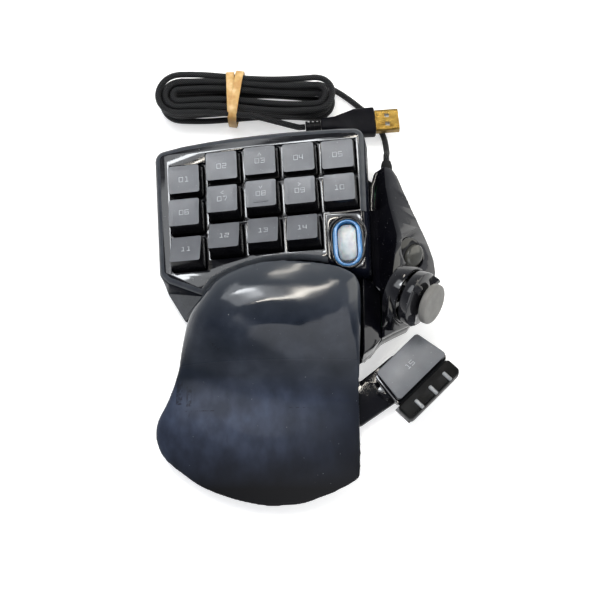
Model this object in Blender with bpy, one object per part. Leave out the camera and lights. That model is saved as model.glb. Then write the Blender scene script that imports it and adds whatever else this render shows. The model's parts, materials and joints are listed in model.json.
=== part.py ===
import math
import bpy
import bmesh
from mathutils import Euler, Matrix, Vector

# A one-hand gaming keypad with its palm rest, thumb module and coiled cord.
# +X runs to the right, +Y away from the user and +Z up from the desk.

for item in list(bpy.data.objects):
    bpy.data.objects.remove(item, do_unlink=True)

MM = 0.001

# Clearances that every piece shares
GAP = 0.3 * MM
RUN = 0.5 * MM
OVERRUN = 12.0 * MM
LEAST_RADIUS = 0.2 * MM

# Key grid on the sloped deck
KEY_PITCH = 19.05 * MM
KEY_SPACE = 2.15 * MM
KEY_DRAFT = 0.10
KEY_CORNER = 1.3 * MM
KEY_SKIRT = 3.0 * MM
KEY_WALL = 1.3 * MM
KEY_EDGE = 0.5 * MM
KEY_DISH = 0.3 * MM
KEY_TRAVEL = 3.2 * MM
KEY_TOP_LENGTH = 13.9 * MM
STEM_RADIUS = 2.4 * MM
NEAR_HEIGHTS = (7.7 * MM, 9.9 * MM, 10.5 * MM)
FAR_HEIGHTS = (8.4 * MM, 8.4 * MM, 4.9 * MM)
TOP_SHIFTS = (-1.4 * MM, 0.3 * MM, 1.1 * MM)
COLUMN_STAGGERS = (-5.9 * MM, -0.8 * MM, 0.0, -0.35 * MM, -0.8 * MM)
KEYS_PER_ROW = (5, 5, 4)
KEY_BASE = KEY_PITCH - KEY_SPACE

# Deck: its place, its slope and the bezel that carries the wells
DECK_PLACE = (-20.4 * MM, 56.4 * MM, 32.0 * MM)
DECK_PITCH_ANGLE = math.radians(3.1)
DECK_ROLL_ANGLE = math.radians(-8.4)
DECK_YAW_ANGLE = math.radians(2.4)
DECK_SIDE_MARGIN = 4.875 * MM
DECK_END_MARGIN = 10.925 * MM
DECK_WIDTH = 5 * KEY_PITCH + 2 * DECK_SIDE_MARGIN
DECK_DEPTH = 3 * KEY_PITCH + 2 * DECK_END_MARGIN
DECK_FACE = 1.2 * MM
DECK_EDGE = 3.0 * MM
RECESS_DEPTH = 2.0 * MM
BEZEL_WALL = 2.2 * MM
WELL_CLEAR = 0.4 * MM
WELL_DEPTH = 8.7 * MM
WELL_FLOOR = 1.2 * MM
BEZEL_CORNER = 4.5 * MM

# Outline of the bezel in shares of the deck's width and depth
BEZEL_OUTLINE_SHARES = (
    (-0.521, 0.385, 1.2), (-0.508, -0.430, 1.0), (-0.465, -0.487, 0.5), (-0.297, -0.588, 0.5),
    (-0.248, -0.506, 0.0), (-0.176, -0.460, 0.0), (-0.092, -0.427, 0.0), (-0.007, -0.408, 0.0),
    (0.078, -0.405, 0.0), (0.158, -0.411, 0.0), (0.240, -0.430, 0.0), (0.319, -0.463, 0.0),
    (0.387, -0.508, 0.2), (0.469, -0.525, 0.5), (0.489, 0.411, 1.2), (0.363, 0.427, 0.0),
    (0.241, 0.434, 0.0), (0.119, 0.439, 0.0), (-0.005, 0.439, 0.0), (-0.129, 0.436, 0.0),
    (-0.254, 0.428, 0.0), (-0.379, 0.414, 0.0))
# The skirt's foot follows the same outline, but flares out at its near left corner
BEZEL_FOOT_SHARES = (BEZEL_OUTLINE_SHARES[0], (-0.520, -0.430, 1.0), (-0.505, -0.490, 0.5), (-0.420, -0.690, 0.5),
                     (-0.300, -0.600, 0.0)) + BEZEL_OUTLINE_SHARES[5:]

# Rubber domes and the board under the keys
DOME_RADIUS = 4.4 * MM
DOME_TOP_RADIUS = 2.6 * MM
DOME_HEIGHT = 3.6 * MM
SHEET_THICK = 0.8 * MM
BOARD_THICK = 1.6 * MM
DOME_SIDES = 10

# Scroll wheel in the place of a fifth key of the third row
WHEEL_PLACE = (2.09 * KEY_PITCH, -1.38 * KEY_PITCH)
WHEEL_RADIUS = 10.2 * MM
WHEEL_WIDTH = 8.6 * MM
WHEEL_DROP = 3.2 * MM
WHEEL_RIBS = 20
WHEEL_RIB = 0.4 * MM
# Crown of the wheel: share of the half width, share of the radius
WHEEL_CROWN_SHARES = ((-1.0, 0.765), (-0.75, 0.90), (-0.40, 0.985), (0.40, 0.985), (0.75, 0.90), (1.0, 0.765))
AXLE_RADIUS = 1.2 * MM
SURROUND_WIDTH = 16.0 * MM
SURROUND_LENGTH = 25.6 * MM
SURROUND_WALL = 0.8 * MM
SURROUND_RISE = 0.7 * MM
LIGHT_RISE = 0.9 * MM
RING_THICK = 2.6 * MM
CLICK_TRAVEL = 0.6 * MM
CARRIER_LENGTH = 8.6 * MM
CARRIER_FLOOR = 1.7 * MM
# The wheel's panel: how far it runs past the surround, to the left and to the back
PANEL_SIDE = 1.6 * MM
PANEL_BACK = 2.4 * MM

# Base plate, feet and lower case
FOOT_HEIGHT = 1.0 * MM
FOOT_RADIUS = 5.0 * MM
BASE_THICK = 2.0 * MM
CASE_FLOOR = 1.3 * MM
SCREW_HEAD_RADIUS = 2.6 * MM
SCREW_HEAD_HEIGHT = 0.9 * MM
SCREW_RADIUS = 1.5 * MM
SCREW_LENGTH = 3.6 * MM
BASE_CORNER = 6.0 * MM
BASE_SIDE_INSET = 6.6 * MM
BASE_BACK_INSET = 9.1 * MM
BASE_FRONT_MARGIN = 8.4 * MM
BASE_SPAN_SHARES = (0.96, 0.98)

# Palm rest
PALM_WIDTH = 98.4 * MM
PALM_LENGTH = 113.8 * MM
PALM_BACK_SHARE = 0.4228
PALM_FRONT = DECK_PLACE[1] - PALM_BACK_SHARE * DECK_DEPTH - PALM_LENGTH
PALM_CREST = 45.0 * MM
PALM_SHELL = 2.4 * MM
PALM_LIP = 3.2 * MM
PALM_LIP_DROP = 2.2 * MM
PALM_DRAW = 0.4 * MM
PALM_FOOT_WIDTH = 1.8 * MM
PALM_SLIDE = 15.0 * MM
TRAY_THICK = 1.6 * MM
RAIL_PLACE_X = -16.0 * MM
RAIL_WIDTH = 24.0 * MM
RAIL_WALL = 3.0 * MM
RAIL_FLOOR = 1.3 * MM
RAIL_HEIGHT = 2.8 * MM
RAIL_LENGTH = 40.0 * MM
RAIL_SETBACK = 48.8 * MM
RAIL_FRONT = PALM_FRONT + RAIL_SETBACK
TONGUE_LENGTH = 26.0 * MM

# Palm outline: shares of width and length, then the rim's share of the crest
PALM_OUTLINE_SHARES = (
    (1.000, 0.144, 0.300), (0.983, 0.112, 0.270), (0.923, 0.082, 0.250), (0.836, 0.047, 0.235),
    (0.707, 0.011, 0.225), (0.588, 0.000, 0.222), (0.494, 0.007, 0.222), (0.366, 0.033, 0.222),
    (0.236, 0.077, 0.222), (0.148, 0.129, 0.222), (0.060, 0.189, 0.222), (0.014, 0.250, 0.230),
    (0.000, 0.308, 0.240), (0.011, 0.367, 0.255), (0.046, 0.425, 0.280), (0.080, 0.498, 0.315),
    (0.107, 0.577, 0.370), (0.120, 0.640, 0.420), (0.152, 0.756, 0.540), (0.187, 0.815, 0.620),
    (0.240, 0.872, 0.710), (0.293, 0.921, 0.775), (0.363, 0.954, 0.820), (0.448, 0.980, 0.850),
    (0.536, 0.996, 0.870), (0.622, 1.000, 0.880), (0.707, 0.998, 0.890), (0.794, 0.989, 0.890),
    (0.879, 0.975, 0.890), (0.948, 0.950, 0.885), (0.987, 0.915, 0.870), (1.000, 0.855, 0.840),
    (1.000, 0.690, 0.740), (1.000, 0.515, 0.540), (1.000, 0.330, 0.360))
# Height along the palm: share of the length, share of the crest
PALM_PROFILE_SHARES = (
    (0.000, 0.240), (0.076, 0.320), (0.163, 0.390), (0.269, 0.427), (0.357, 0.430), (0.430, 0.438),
    (0.470, 0.470), (0.520, 0.580), (0.580, 0.712), (0.664, 0.867), (0.752, 0.967), (0.840, 1.000), (0.919, 0.978),
    (0.972, 0.933), (1.000, 0.900))
# Rings from the rim inwards: share of the outline, share of the rise to the profile
PALM_RING_SHARES = (
    (1.000, 0.00), (0.984, 0.24), (0.950, 0.44), (0.880, 0.64), (0.770, 0.81), (0.620, 0.93),
    (0.430, 1.00), (0.250, 1.00), (0.110, 1.00), (0.030, 1.00))
PALM_INNER_RING_SHARES = ((0.700, 0.86), (0.300, 1.00), (0.050, 1.00))
# The valley bows back towards the sides: its reach, and its middle's share of the width
PALM_BOW = 7.0 * MM
PALM_BOW_SHARE = 0.78
PALM_CENTRE_SHARES = (0.53, 0.49)
# Where the wall's foot clears the arm and the base plate, in shares of the length
PALM_ARM_SHARES = (0.13, 0.73)
PALM_PLATE_SHARE = 0.47

# Thumb module
THUMB_TUCK = 3.545 * MM
THUMB_SIDE_SHARE = 0.489
THUMB_LEFT = DECK_PLACE[0] + THUMB_SIDE_SHARE * DECK_WIDTH - THUMB_TUCK
THUMB_FRONT = -20.5 * MM
PALM_SIDE_GAP = 1.0 * MM
PALM_LEFT = THUMB_LEFT - PALM_SIDE_GAP - PALM_WIDTH
THUMB_WIDTH = 36.4 * MM
THUMB_LENGTH = 102.0 * MM
THUMB_SPLIT = 13.0 * MM
THUMB_WALL = 2.2 * MM
THUMB_FLOOR = 1.8 * MM
THUMB_TOP = 31.0 * MM
THUMB_OUTLINE_SHARES = (
    (0.000, 0.000, 0.3), (0.154, 0.060, 0.3), (0.278, 0.108, 0.3), (0.429, 0.138, 0.3),
    (0.627, 0.172, 0.3), (0.760, 0.235, 0.5), (0.880, 0.300, 0.8), (0.975, 0.372, 0.8),
    (1.000, 0.430, 0.5), (0.985, 0.492, 0.3), (0.912, 0.576, 0.0), (0.758, 0.711, 0.0),
    (0.612, 0.848, 0.0), (0.525, 0.950, 0.8), (0.456, 0.992, 0.8), (0.323, 1.000, 0.8),
    (0.214, 0.978, 0.8), (0.155, 0.900, 0.3), (0.134, 0.760, 0.0), (0.154, 0.352, 0.2), (0.000, 0.352, 0.2))
THUMB_CORNER = 4.0 * MM
# Roof of the wing: share of the length, then shares of the top's height at the
# inner edge, on the ridge and at the outer side, and the ridge's share of the width
WING_ROOF_SHARES = (
    (1.05, 0.40, 0.46, 0.10, 0.36), (0.96, 0.42, 0.56, 0.18, 0.35), (0.88, 0.43, 0.68, 0.26, 0.35),
    (0.765, 0.44, 0.80, 0.33, 0.38), (0.755, 0.60, 0.81, 0.34, 0.385), (0.66, 0.62, 0.91, 0.40, 0.43),
    (0.58, 0.64, 1.00, 0.46, 0.465), (0.52, 0.66, 1.10, 0.50, 0.45), (0.457, 0.68, 1.18, 0.53, 0.41),
    (0.344, 0.70, 1.25, 0.55, 0.375), (0.27, 0.70, 1.25, 0.55, 0.325), (0.16, 0.66, 1.20, 0.52, 0.300),
    (0.14, 0.56, 0.60, 0.46, 0.300), (-0.02, 0.48, 0.52, 0.42, 0.300))
WING_VALLEY_SHARE = 0.24
# Raised rim round the button and the pad, in shares of the module's width and length
RIM_LINE_SHARES = ((0.740, 0.650), (0.652, 0.621), (0.548, 0.581), (0.465, 0.530), (0.418, 0.465), (0.385, 0.390),
                   (0.372, 0.330), (0.326, 0.270), (0.303, 0.200), (0.300, 0.150))
RIM_WIDTH = 1.1 * MM
RIM_RISE = 0.7 * MM
COVER_HIGH = 29.0 * MM
COVER_LOW = 17.0 * MM
COVER_WIDTH = 9.4 * MM
COVER_LENGTH = 38.0 * MM
COVER_OUTLINE_SHARES = (
    (0.00, 0.00, 0.0), (0.55, 0.12, 0.5), (1.00, 0.28, 0.5), (1.00, 0.84, 0.5), (0.55, 0.99, 0.2),
    (0.00, 1.00, 0.2))
COVER_CORNER = 2.0 * MM

# Direction pad on its two tilting axes, with the stick
PAD_SETBACK = (29.0 * MM, 24.65 * MM)
PAD_PLACE = (THUMB_LEFT + PAD_SETBACK[0], THUMB_FRONT + PAD_SETBACK[1], 32.4 * MM)
PAD_AZIMUTH = math.radians(-30.3)
PAD_ELEVATION = math.radians(21.1)
PAD_RADIUS = 13.6 * MM
PAD_THICK = 6.4 * MM
PAD_CROWN = 1.4 * MM
PAD_TILT_SPACE = 1.5 * MM
PAD_SWING_SPACE = 2.4 * MM
PAD_MARK_LENGTH = 5.2 * MM
PAD_MARK_WIDTH = 5.0 * MM
PAD_MARK_RISE = 3.2 * MM
HOUSING_FLARE = 0.4 * MM
HOUSING_WALL = 1.3 * MM
HOUSING_DEPTH = 15.0 * MM
HOUSING_FLOOR = 1.5 * MM
YOKE_DEPTH = 10.2 * MM
YOKE_SIZE = 6.0 * MM
YOKE_THICK = 2.0 * MM
YOKE_PIN = 1.4 * MM
YOKE_PIN_LENGTH = 2.6 * MM
LUG_THICK = 1.6 * MM
LUG_WIDTH = 4.0 * MM
STICK_RADIUS = 3.2 * MM
STICK_LENGTH = 3.6 * MM
CAP_RADIUS = 9.9 * MM
CAP_THICK = 3.6 * MM
CAP_EDGE = 0.7 * MM

# Mode button and the window beside it
BUTTON_SETBACK = (23.5 * MM, 50.8 * MM)
BUTTON_PLACE = (THUMB_LEFT + BUTTON_SETBACK[0], THUMB_FRONT + BUTTON_SETBACK[1], 27.4 * MM)
BUTTON_AZIMUTH = math.radians(-28.0)
BUTTON_ELEVATION = math.radians(55.0)
BUTTON_WIDTH = 9.6 * MM
BUTTON_LENGTH = 12.6 * MM
BUTTON_SHIFT = 2.6 * MM
BUTTON_RISE = 1.6 * MM
BUTTON_DEPTH = 4.0 * MM
BUTTON_TRAVEL = 1.2 * MM
LENS_WIDTH = 15.0 * MM
LENS_LENGTH = 15.4 * MM
LENS_THICK = 2.4 * MM

# Strap, key 15 and its grip
ARM_THICK = 2.7 * MM
ARM_ROOT_X = 4.0 * MM
ARM_ROOT_Y = -50.0 * MM
ARM_WIDTH = 52.0 * MM
ARM_LENGTH = 36.0 * MM
ARM_OUTLINE_SHARES = (
    (0.00, 0.00, 0.5), (0.44, -0.02, 0.8), (0.76, 0.30, 0.2), (0.97, 0.55, 0.5), (0.98, 0.75, 0.8),
    (0.75, 0.97, 0.5), (0.58, 0.76, 0.2), (0.44, 0.60, 0.8), (0.00, 0.58, 0.5))
ARM_CORNER = 3.0 * MM
K15_PLACE = (49.9 * MM, -23.5 * MM, 19.0 * MM)
K15_YAW = math.radians(44.5)
K15_TILT = math.radians(-5.0)
K15_WIDTH = 30.6 * MM
K15_DEPTH = 17.8 * MM
K15_FLARE = 2.5 * MM
K15_THICK = 5.0 * MM
K15_PLATE = 2.4 * MM
K15_OVERHANG = 1.6 * MM
K15_CORNER = 1.8 * MM
K15_EDGE = 0.6 * MM
K15_TRAVEL = 2.0 * MM
K15_STEM = 3.0 * MM
FRAME_WALL = 1.5 * MM
FRAME_FLOOR = 1.8 * MM
FRAME_RIM = 0.7 * MM
FRAME_POST = 7.0 * MM
GRIP_WIDTH = 34.6 * MM
GRIP_DEPTH = 9.2 * MM
GRIP_SHIFT = -1.7 * MM
GRIP_HEIGHT = 6.4 * MM
GRIP_DROP = 2.2 * MM
GRIP_CORNER = 2.2 * MM
GRIP_RIB_WIDTH = 1.6 * MM
GRIP_RIB_LENGTH = 4.6 * MM
GRIP_RIB_RISE = 0.5 * MM
GRIP_RIBS = 3
GRIP_RIB_PITCH = 9.6 * MM

# Cord: one braided run of about 1.7 m in a lead, a hank and a tail
CORD_DIAMETER = 3.1 * MM
CORD_SETBACK = 14.6 * MM
CORD_EXIT = (THUMB_LEFT + CORD_SETBACK, THUMB_FRONT + THUMB_LENGTH + GAP, 7.8 * MM)
RELIEF_RADIUS = 2.9 * MM
RELIEF_LENGTH = 6.0 * MM
HANK_PLACE = (-30.3 * MM, 123.4 * MM)
HANK_LENGTH = 98.0 * MM
HANK_PITCH = 3.86 * MM
HANK_INNER = 2.8 * MM
HANK_LIFT = 3.4 * MM
HANK_LAYER = 3.75 * MM
HANK_LAYERS = 4
HANK_LOOPS_PER_LAYER = 2
HANK_RUN_POINTS = 4
HANK_BEND_POINTS = 8
HANK_WAIST_SHARE = 0.94
HANK_WAIST_REACH = 20.0 * MM
TIE_PLACE_X = -36.9 * MM
TIE_WIDTH = 8.4 * MM
TIE_THICK = 1.3 * MM
LEAD_STEP = 6.4 * MM

# Plug
PLUG_PLACE = (48.8 * MM, 111.4 * MM, 8.4 * MM)
PLUG_YAW = math.radians(4.5)
SHELL_LENGTH = 12.2 * MM
SHELL_WIDTH = 12.0 * MM
SHELL_HEIGHT = 4.5 * MM
SHELL_WALL = 0.35 * MM
BODY_LENGTH = 28.0 * MM
BODY_WIDTH = 15.2 * MM
BODY_NARROW = 7.2 * MM
BODY_HEIGHT = 8.0 * MM
BODY_CORNER = 2.0 * MM
PLUG_RELIEF_LENGTH = 9.0 * MM
PLUG_RELIEF_RADIUS = 2.9 * MM
PLUG_RELIEF_RIBS = 4
PLUG_RELIEF_GROOVE = 0.6 * MM
TONGUE_THICK = 1.9 * MM
TONGUE_WIDTH = 10.0 * MM

# Levels that follow from the sizes above
BASE_LOW = FOOT_HEIGHT + GAP
BASE_TOP = BASE_LOW + BASE_THICK
SEAT_LOW = BASE_TOP + GAP
FLOOR_TOP = SEAT_LOW + CASE_FLOOR
ARM_TOP = SEAT_LOW + ARM_THICK
TRAY_LOW = ARM_TOP + RUN
WELL_BOTTOM = DECK_FACE - WELL_DEPTH
BEZEL_UNDER = WELL_BOTTOM - WELL_FLOOR
STEM_END = BEZEL_UNDER - RUN
DOME_TOP = STEM_END - GAP
SHEET_TOP = DOME_TOP - DOME_HEIGHT
BOARD_TOP = SHEET_TOP - SHEET_THICK - GAP
SKIRT_LOW = BOARD_TOP - BOARD_THICK
CASE_RIM = SKIRT_LOW - GAP
PAD_MOUTH = PAD_THICK + PAD_TILT_SPACE
BASE_WIDTH = (THUMB_LEFT + THUMB_WIDTH + DECK_WIDTH / 2 - DECK_PLACE[0] - 2 * BASE_SIDE_INSET) / BASE_SPAN_SHARES[0]
BASE_LENGTH = (DECK_PLACE[1] + DECK_DEPTH / 2 - BASE_BACK_INSET - RAIL_FRONT + BASE_FRONT_MARGIN) / BASE_SPAN_SHARES[1]

RUN_SHARE = HANK_RUN_POINTS / (2 * (HANK_RUN_POINTS + HANK_BEND_POINTS))
BEND_SHARE = 0.5 - RUN_SHARE
END_SHARE = BEND_SHARE + RUN_SHARE / 2

DECK_TURN = (DECK_PITCH_ANGLE, DECK_ROLL_ANGLE, DECK_YAW_ANGLE)
DECK_MATRIX = Matrix.LocRotScale(Vector(DECK_PLACE), Euler(DECK_TURN), None)

finishes = {}


def finish(name, colour, roughness, metallic=0.0):
    """One Principled material, kept by name."""
    material = bpy.data.materials.new(name)
    material.use_nodes = True
    shader = material.node_tree.nodes["Principled BSDF"]
    shader.inputs["Base Color"].default_value = (*colour, 1.0)
    shader.inputs["Roughness"].default_value = roughness
    shader.inputs["Metallic"].default_value = metallic
    material.diffuse_color = (*colour, 1.0)
    finishes[name] = material


finish("gloss_black", (0.010, 0.010, 0.012), 0.12)
finish("matte_charcoal", (0.028, 0.034, 0.045), 0.42)
finish("key_grey", (0.060, 0.062, 0.066), 0.55)
finish("smoke_white", (0.62, 0.63, 0.62), 0.35)
finish("blue_light", (0.03, 0.22, 0.75), 0.30)
finish("black_rubber", (0.020, 0.020, 0.021), 0.80)
finish("dark_plastic", (0.025, 0.025, 0.027), 0.60)
finish("steel", (0.55, 0.55, 0.55), 0.35, 1.0)
finish("gold", (0.83, 0.61, 0.22), 0.25, 1.0)
finish("cord_braid", (0.018, 0.018, 0.020), 0.75)
finish("tan_rubber", (0.62, 0.40, 0.14), 0.60)
finish("board_green", (0.03, 0.16, 0.08), 0.50)
finish("dome_rubber", (0.35, 0.36, 0.36), 0.65)
finish("stick_grey", (0.22, 0.215, 0.205), 0.50)


# Builders that the pieces share
def add(name, bm, surface, parent=None, place=(0, 0, 0), turn=(0, 0, 0)):
    """Turns a bmesh into a named object, faces out, shaded smooth where round."""
    bmesh.ops.recalc_face_normals(bm, faces=bm.faces)
    mesh = bpy.data.meshes.new(name)
    bm.to_mesh(mesh)
    bm.free()
    piece = bpy.data.objects.new(name, mesh)
    bpy.context.collection.objects.link(piece)
    mesh.materials.append(finishes[surface].copy())
    mesh.materials[0].name = name + "_finish"
    mesh.shade_smooth()
    mesh.set_sharp_from_angle(angle=math.radians(32))
    piece.location = place
    piece.rotation_euler = turn
    piece.parent = parent
    return piece


def frame(name, place, turn):
    """An empty that carries pieces."""
    empty = bpy.data.objects.new(name, None)
    bpy.context.collection.objects.link(empty)
    empty.location = place
    empty.rotation_euler = turn
    return empty


def stacked(rings):
    """Skins equal rings into one closed body."""
    bm = bmesh.new()
    loops = [[bm.verts.new(point) for point in ring] for ring in rings]
    for lower, upper in zip(loops, loops[1:]):
        for i, vert in enumerate(lower):
            j = (i + 1) % len(lower)
            bm.faces.new((vert, lower[j], upper[j], upper[i]))
    bm.faces.new(loops[0])
    bm.faces.new(loops[-1])
    return bm


def level(outline, height):
    """Stands a flat outline at one height."""
    return [(x, y, height) for x, y in outline]


def soft_rings(shape, low, high, edge, steps=2):
    """Rings of a plate whose upper edge is rounded; shape gives its outline at a depth."""
    rings = [level(shape(0), low), level(shape(0), high - edge)]
    for step in range(1, steps + 1):
        angle = step / steps * math.pi / 2
        inner = shape(edge * (1 - math.cos(angle)))
        rings.append(level(inner, high - edge * (1 - math.sin(angle))))
    return rings


def shape_of(outline):
    """Depth to outline, for a smooth outline."""
    return lambda depth: inset(outline, depth)


def plan_of(corners, steps=4):
    """Depth to outline, for corners whose radii grow or shrink with the depth."""
    return lambda depth: filleted(shrunk(corners, depth), steps)


def shrunk(corners, depth):
    """Moves corners (x, y, radius) inwards by depth and fits their radii."""
    moved = inset([corner[:2] for corner in corners], depth)
    result = []
    for i, (x, y, radius) in enumerate(corners):
        before = Vector(corners[i][:2]) - Vector(corners[i - 1][:2])
        after = Vector(corners[(i + 1) % len(corners)][:2]) - Vector(corners[i][:2])
        inward = before.cross(after) > 0
        fitted = radius - depth if inward else radius + depth
        result.append((*moved[i], max(fitted, LEAST_RADIUS) if radius > 0 else 0))
    return result


def inset(outline, depth):
    """Moves an outline that turns to the left inwards by depth."""
    moved = []
    for i, point in enumerate(outline):
        here = Vector(point)
        before = (here - Vector(outline[i - 1])).normalized()
        after = (Vector(outline[(i + 1) % len(outline)]) - here).normalized()
        side = Vector((-before.y - after.y, before.x + after.x)).normalized()
        reach = depth / max(side.dot(Vector((-before.y, before.x))), 0.4)
        moved.append(tuple(here + side * reach))
    return moved


def filleted(corners, steps=4):
    """Rounds the corners (x, y, radius) of an outline."""
    points = []
    for i, (x, y, radius) in enumerate(corners):
        here = Vector((x, y))
        if radius == 0:
            points.append(tuple(here))
            continue
        back = (Vector(corners[i - 1][:2]) - here).normalized()
        onward = (Vector(corners[(i + 1) % len(corners)][:2]) - here).normalized()
        half = back.angle(onward) / 2
        reach = radius / math.tan(half)
        middle = here + (back + onward).normalized() * radius / math.sin(half)
        start = here + back * reach - middle
        end = here + onward * reach - middle
        for step in range(steps + 1):
            ray = start.lerp(end, step / steps).normalized() * radius
            points.append(tuple(middle + ray))
    return points


def box_corners(width, length, radius):
    """Corners of a rectangle about the origin."""
    x = width / 2
    y = length / 2
    return (-x, -y, radius), (x, -y, radius), (x, y, radius), (-x, y, radius)


def rounded_box(width, length, radius, steps=2):
    """Rectangle about the origin with round corners."""
    return filleted(box_corners(width, length, radius), steps)


def stadium(width, length, steps=8):
    """Long hole outline with round ends along Y."""
    points = []
    reach = (length - width) / 2
    for end in (1, -1):
        for step in range(steps + 1):
            angle = math.pi * step / steps + (0 if end > 0 else math.pi)
            points.append((width / 2 * math.cos(angle), width / 2 * math.sin(angle) + end * reach))
    return points


def circle(radius, sides):
    """Round outline."""
    turns = [2 * math.pi * (i + 0.5) / sides for i in range(sides)]
    return [(radius * math.cos(angle), radius * math.sin(angle)) for angle in turns]


def ellipse(width, length, sides):
    """Oval outline."""
    return [(x * width / 2, y * length / 2) for x, y in circle(1, sides)]


def turned(profile, sides):
    """Spins a profile of (radius, height) about Z; it starts and ends on the axis."""
    bm = bmesh.new()
    chain = [bm.verts.new((radius, 0, height)) for radius, height in profile]
    edges = [bm.edges.new(pair) for pair in zip(chain, chain[1:])]
    bmesh.ops.spin(bm, geom=chain + edges, cent=(0, 0, 0), axis=(0, 0, 1), steps=sides,
                   angle=2 * math.pi, use_merge=True)
    bmesh.ops.remove_doubles(bm, verts=bm.verts, dist=MM / 1000)
    return bm


def box(size, centre=(0, 0, 0)):
    """Plain block."""
    bm = bmesh.new()
    bmesh.ops.create_cube(bm, size=1)
    bmesh.ops.scale(bm, vec=size, verts=bm.verts)
    bmesh.ops.translate(bm, vec=centre, verts=bm.verts)
    return bm


def combine(piece, tool, operation):
    """Cuts, joins or intersects a piece with a tool and drops the tool."""
    bpy.context.view_layer.update()
    change = piece.modifiers.new("shape", "BOOLEAN")
    change.object = tool
    change.operation = operation
    change.solver = "EXACT"
    bpy.ops.object.select_all(action="DESELECT")
    piece.select_set(True)
    bpy.context.view_layer.objects.active = piece
    bpy.ops.object.modifier_apply(modifier=change.name)
    bpy.data.objects.remove(tool, do_unlink=True)
    bm = bmesh.new()
    bm.from_mesh(piece.data)
    bmesh.ops.remove_doubles(bm, verts=bm.verts, dist=MM / 500)
    bmesh.ops.dissolve_degenerate(bm, edges=bm.edges, dist=MM / 500)
    bm.to_mesh(piece.data)
    bm.free()
    piece.data.shade_smooth()
    piece.data.set_sharp_from_angle(angle=math.radians(32))


def cut(piece, bm, parent=None, place=(0, 0, 0), turn=(0, 0, 0)):
    """Takes a shape out of a piece."""
    combine(piece, add("tool", bm, "steel", parent, place, turn), "DIFFERENCE")


def join(piece, bm, parent=None, place=(0, 0, 0), turn=(0, 0, 0)):
    """Adds a shape to a piece."""
    combine(piece, add("tool", bm, "steel", parent, place, turn), "UNION")


def scaled(shares, width, length, corner, origin=(0, 0)):
    """Outline corners from shares of a width and a length."""
    return [(origin[0] + x * width, origin[1] + y * length, r * corner) for x, y, r in shares]


# Key module
deck = frame("key_deck", DECK_PLACE, DECK_TURN)
bezel_plan = plan_of(scaled(BEZEL_OUTLINE_SHARES, DECK_WIDTH, DECK_DEPTH, BEZEL_CORNER))
bezel_foot = plan_of(scaled(BEZEL_FOOT_SHARES, DECK_WIDTH, DECK_DEPTH, BEZEL_CORNER))


def key_places():
    """Number, row and place of each key on the deck."""
    number = 0
    for row, count in enumerate(KEYS_PER_ROW):
        for column in range(count):
            number += 1
            u = (column - 2) * KEY_PITCH
            v = COLUMN_STAGGERS[column] - (row - 1) * KEY_PITCH
            yield number, row, u, v


def key_field():
    """Outline of the sunk field round the keys, stepped from column to column."""
    half = KEY_BASE / 2 + WELL_CLEAR
    near = []
    far = []
    for column, stagger in enumerate(COLUMN_STAGGERS):
        rows = sum(1 for count in KEYS_PER_ROW if count > column)
        left = (column - 2) * KEY_PITCH - (half if column == 0 else KEY_PITCH / 2)
        right = (column - 2) * KEY_PITCH + (half if column == 4 else KEY_PITCH / 2)
        low = stagger - (rows - 2) * KEY_PITCH - half
        high = stagger + KEY_PITCH + half
        near += [(left, low), (right, low)]
        far += [(left, high), (right, high)]
    return near + far[::-1]


def cap_ring(half, near, far, near_height, far_height, corner):
    """Ring of a key cap whose height changes from its near to its far edge."""
    corners = ((-half, near, corner), (half, near, corner), (half, far, corner), (-half, far, corner))
    ring = []
    for x, y in filleted(corners, 2):
        height = near_height + (y - near) / (far - near) * (far_height - near_height)
        ring.append((x, y, height))
    return ring


def square_ring(half, height, corner):
    """Level ring of a square with round corners."""
    return cap_ring(half, -half, half, height, height, corner)


def make_bezel():
    """Upper shell with a sunk field, a well per key and a flared skirt, and the wheel's panel."""
    rings = soft_rings(bezel_plan, SKIRT_LOW, DECK_FACE, DECK_EDGE, 3)
    rings[0] = level(bezel_foot(0), SKIRT_LOW)
    bezel = add("key_bezel", stacked(rings), "gloss_black", deck)
    inner = bezel_plan(BEZEL_WALL)
    wide = bezel_foot(BEZEL_WALL)
    cut(bezel, stacked([level(wide, SKIRT_LOW - OVERRUN), level(wide, SKIRT_LOW), level(inner, BEZEL_UNDER)]), deck)
    field = key_field()
    cut(bezel, stacked([level(field, DECK_FACE - RECESS_DEPTH), level(field, DECK_FACE + RUN)]), deck)
    bore = STEM_RADIUS + GAP
    well = KEY_BASE / 2 + WELL_CLEAR
    for number, row, u, v in key_places():
        rings = [square_ring(bore, BEZEL_UNDER - RUN, bore * 0.6),
                 square_ring(bore, WELL_BOTTOM, bore * 0.6),
                 square_ring(well, WELL_BOTTOM, KEY_CORNER + WELL_CLEAR),
                 square_ring(well, DECK_FACE + RUN, KEY_CORNER + WELL_CLEAR)]
        cut(bezel, stacked(rings), deck, (u, v, 0))
    hole = stadium(SURROUND_WIDTH + 2 * GAP, SURROUND_LENGTH + 2 * GAP)
    shape = stacked([level(hole, BEZEL_UNDER - RUN), level(hole, DECK_FACE + RUN)])
    cut(bezel, shape, deck, (*WHEEL_PLACE, 0))
    panel = bezel.copy()
    panel.data = bezel.data.copy()
    panel.name = "wheel_panel"
    panel.data.materials[0] = finishes["gloss_black"].copy()
    panel.data.materials[0].name = "wheel_panel_finish"
    bpy.context.collection.objects.link(panel)
    combine(panel, add("tool", panel_space(0), "steel", deck), "INTERSECT")
    cut(bezel, panel_space(GAP), deck)
    return bezel


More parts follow.
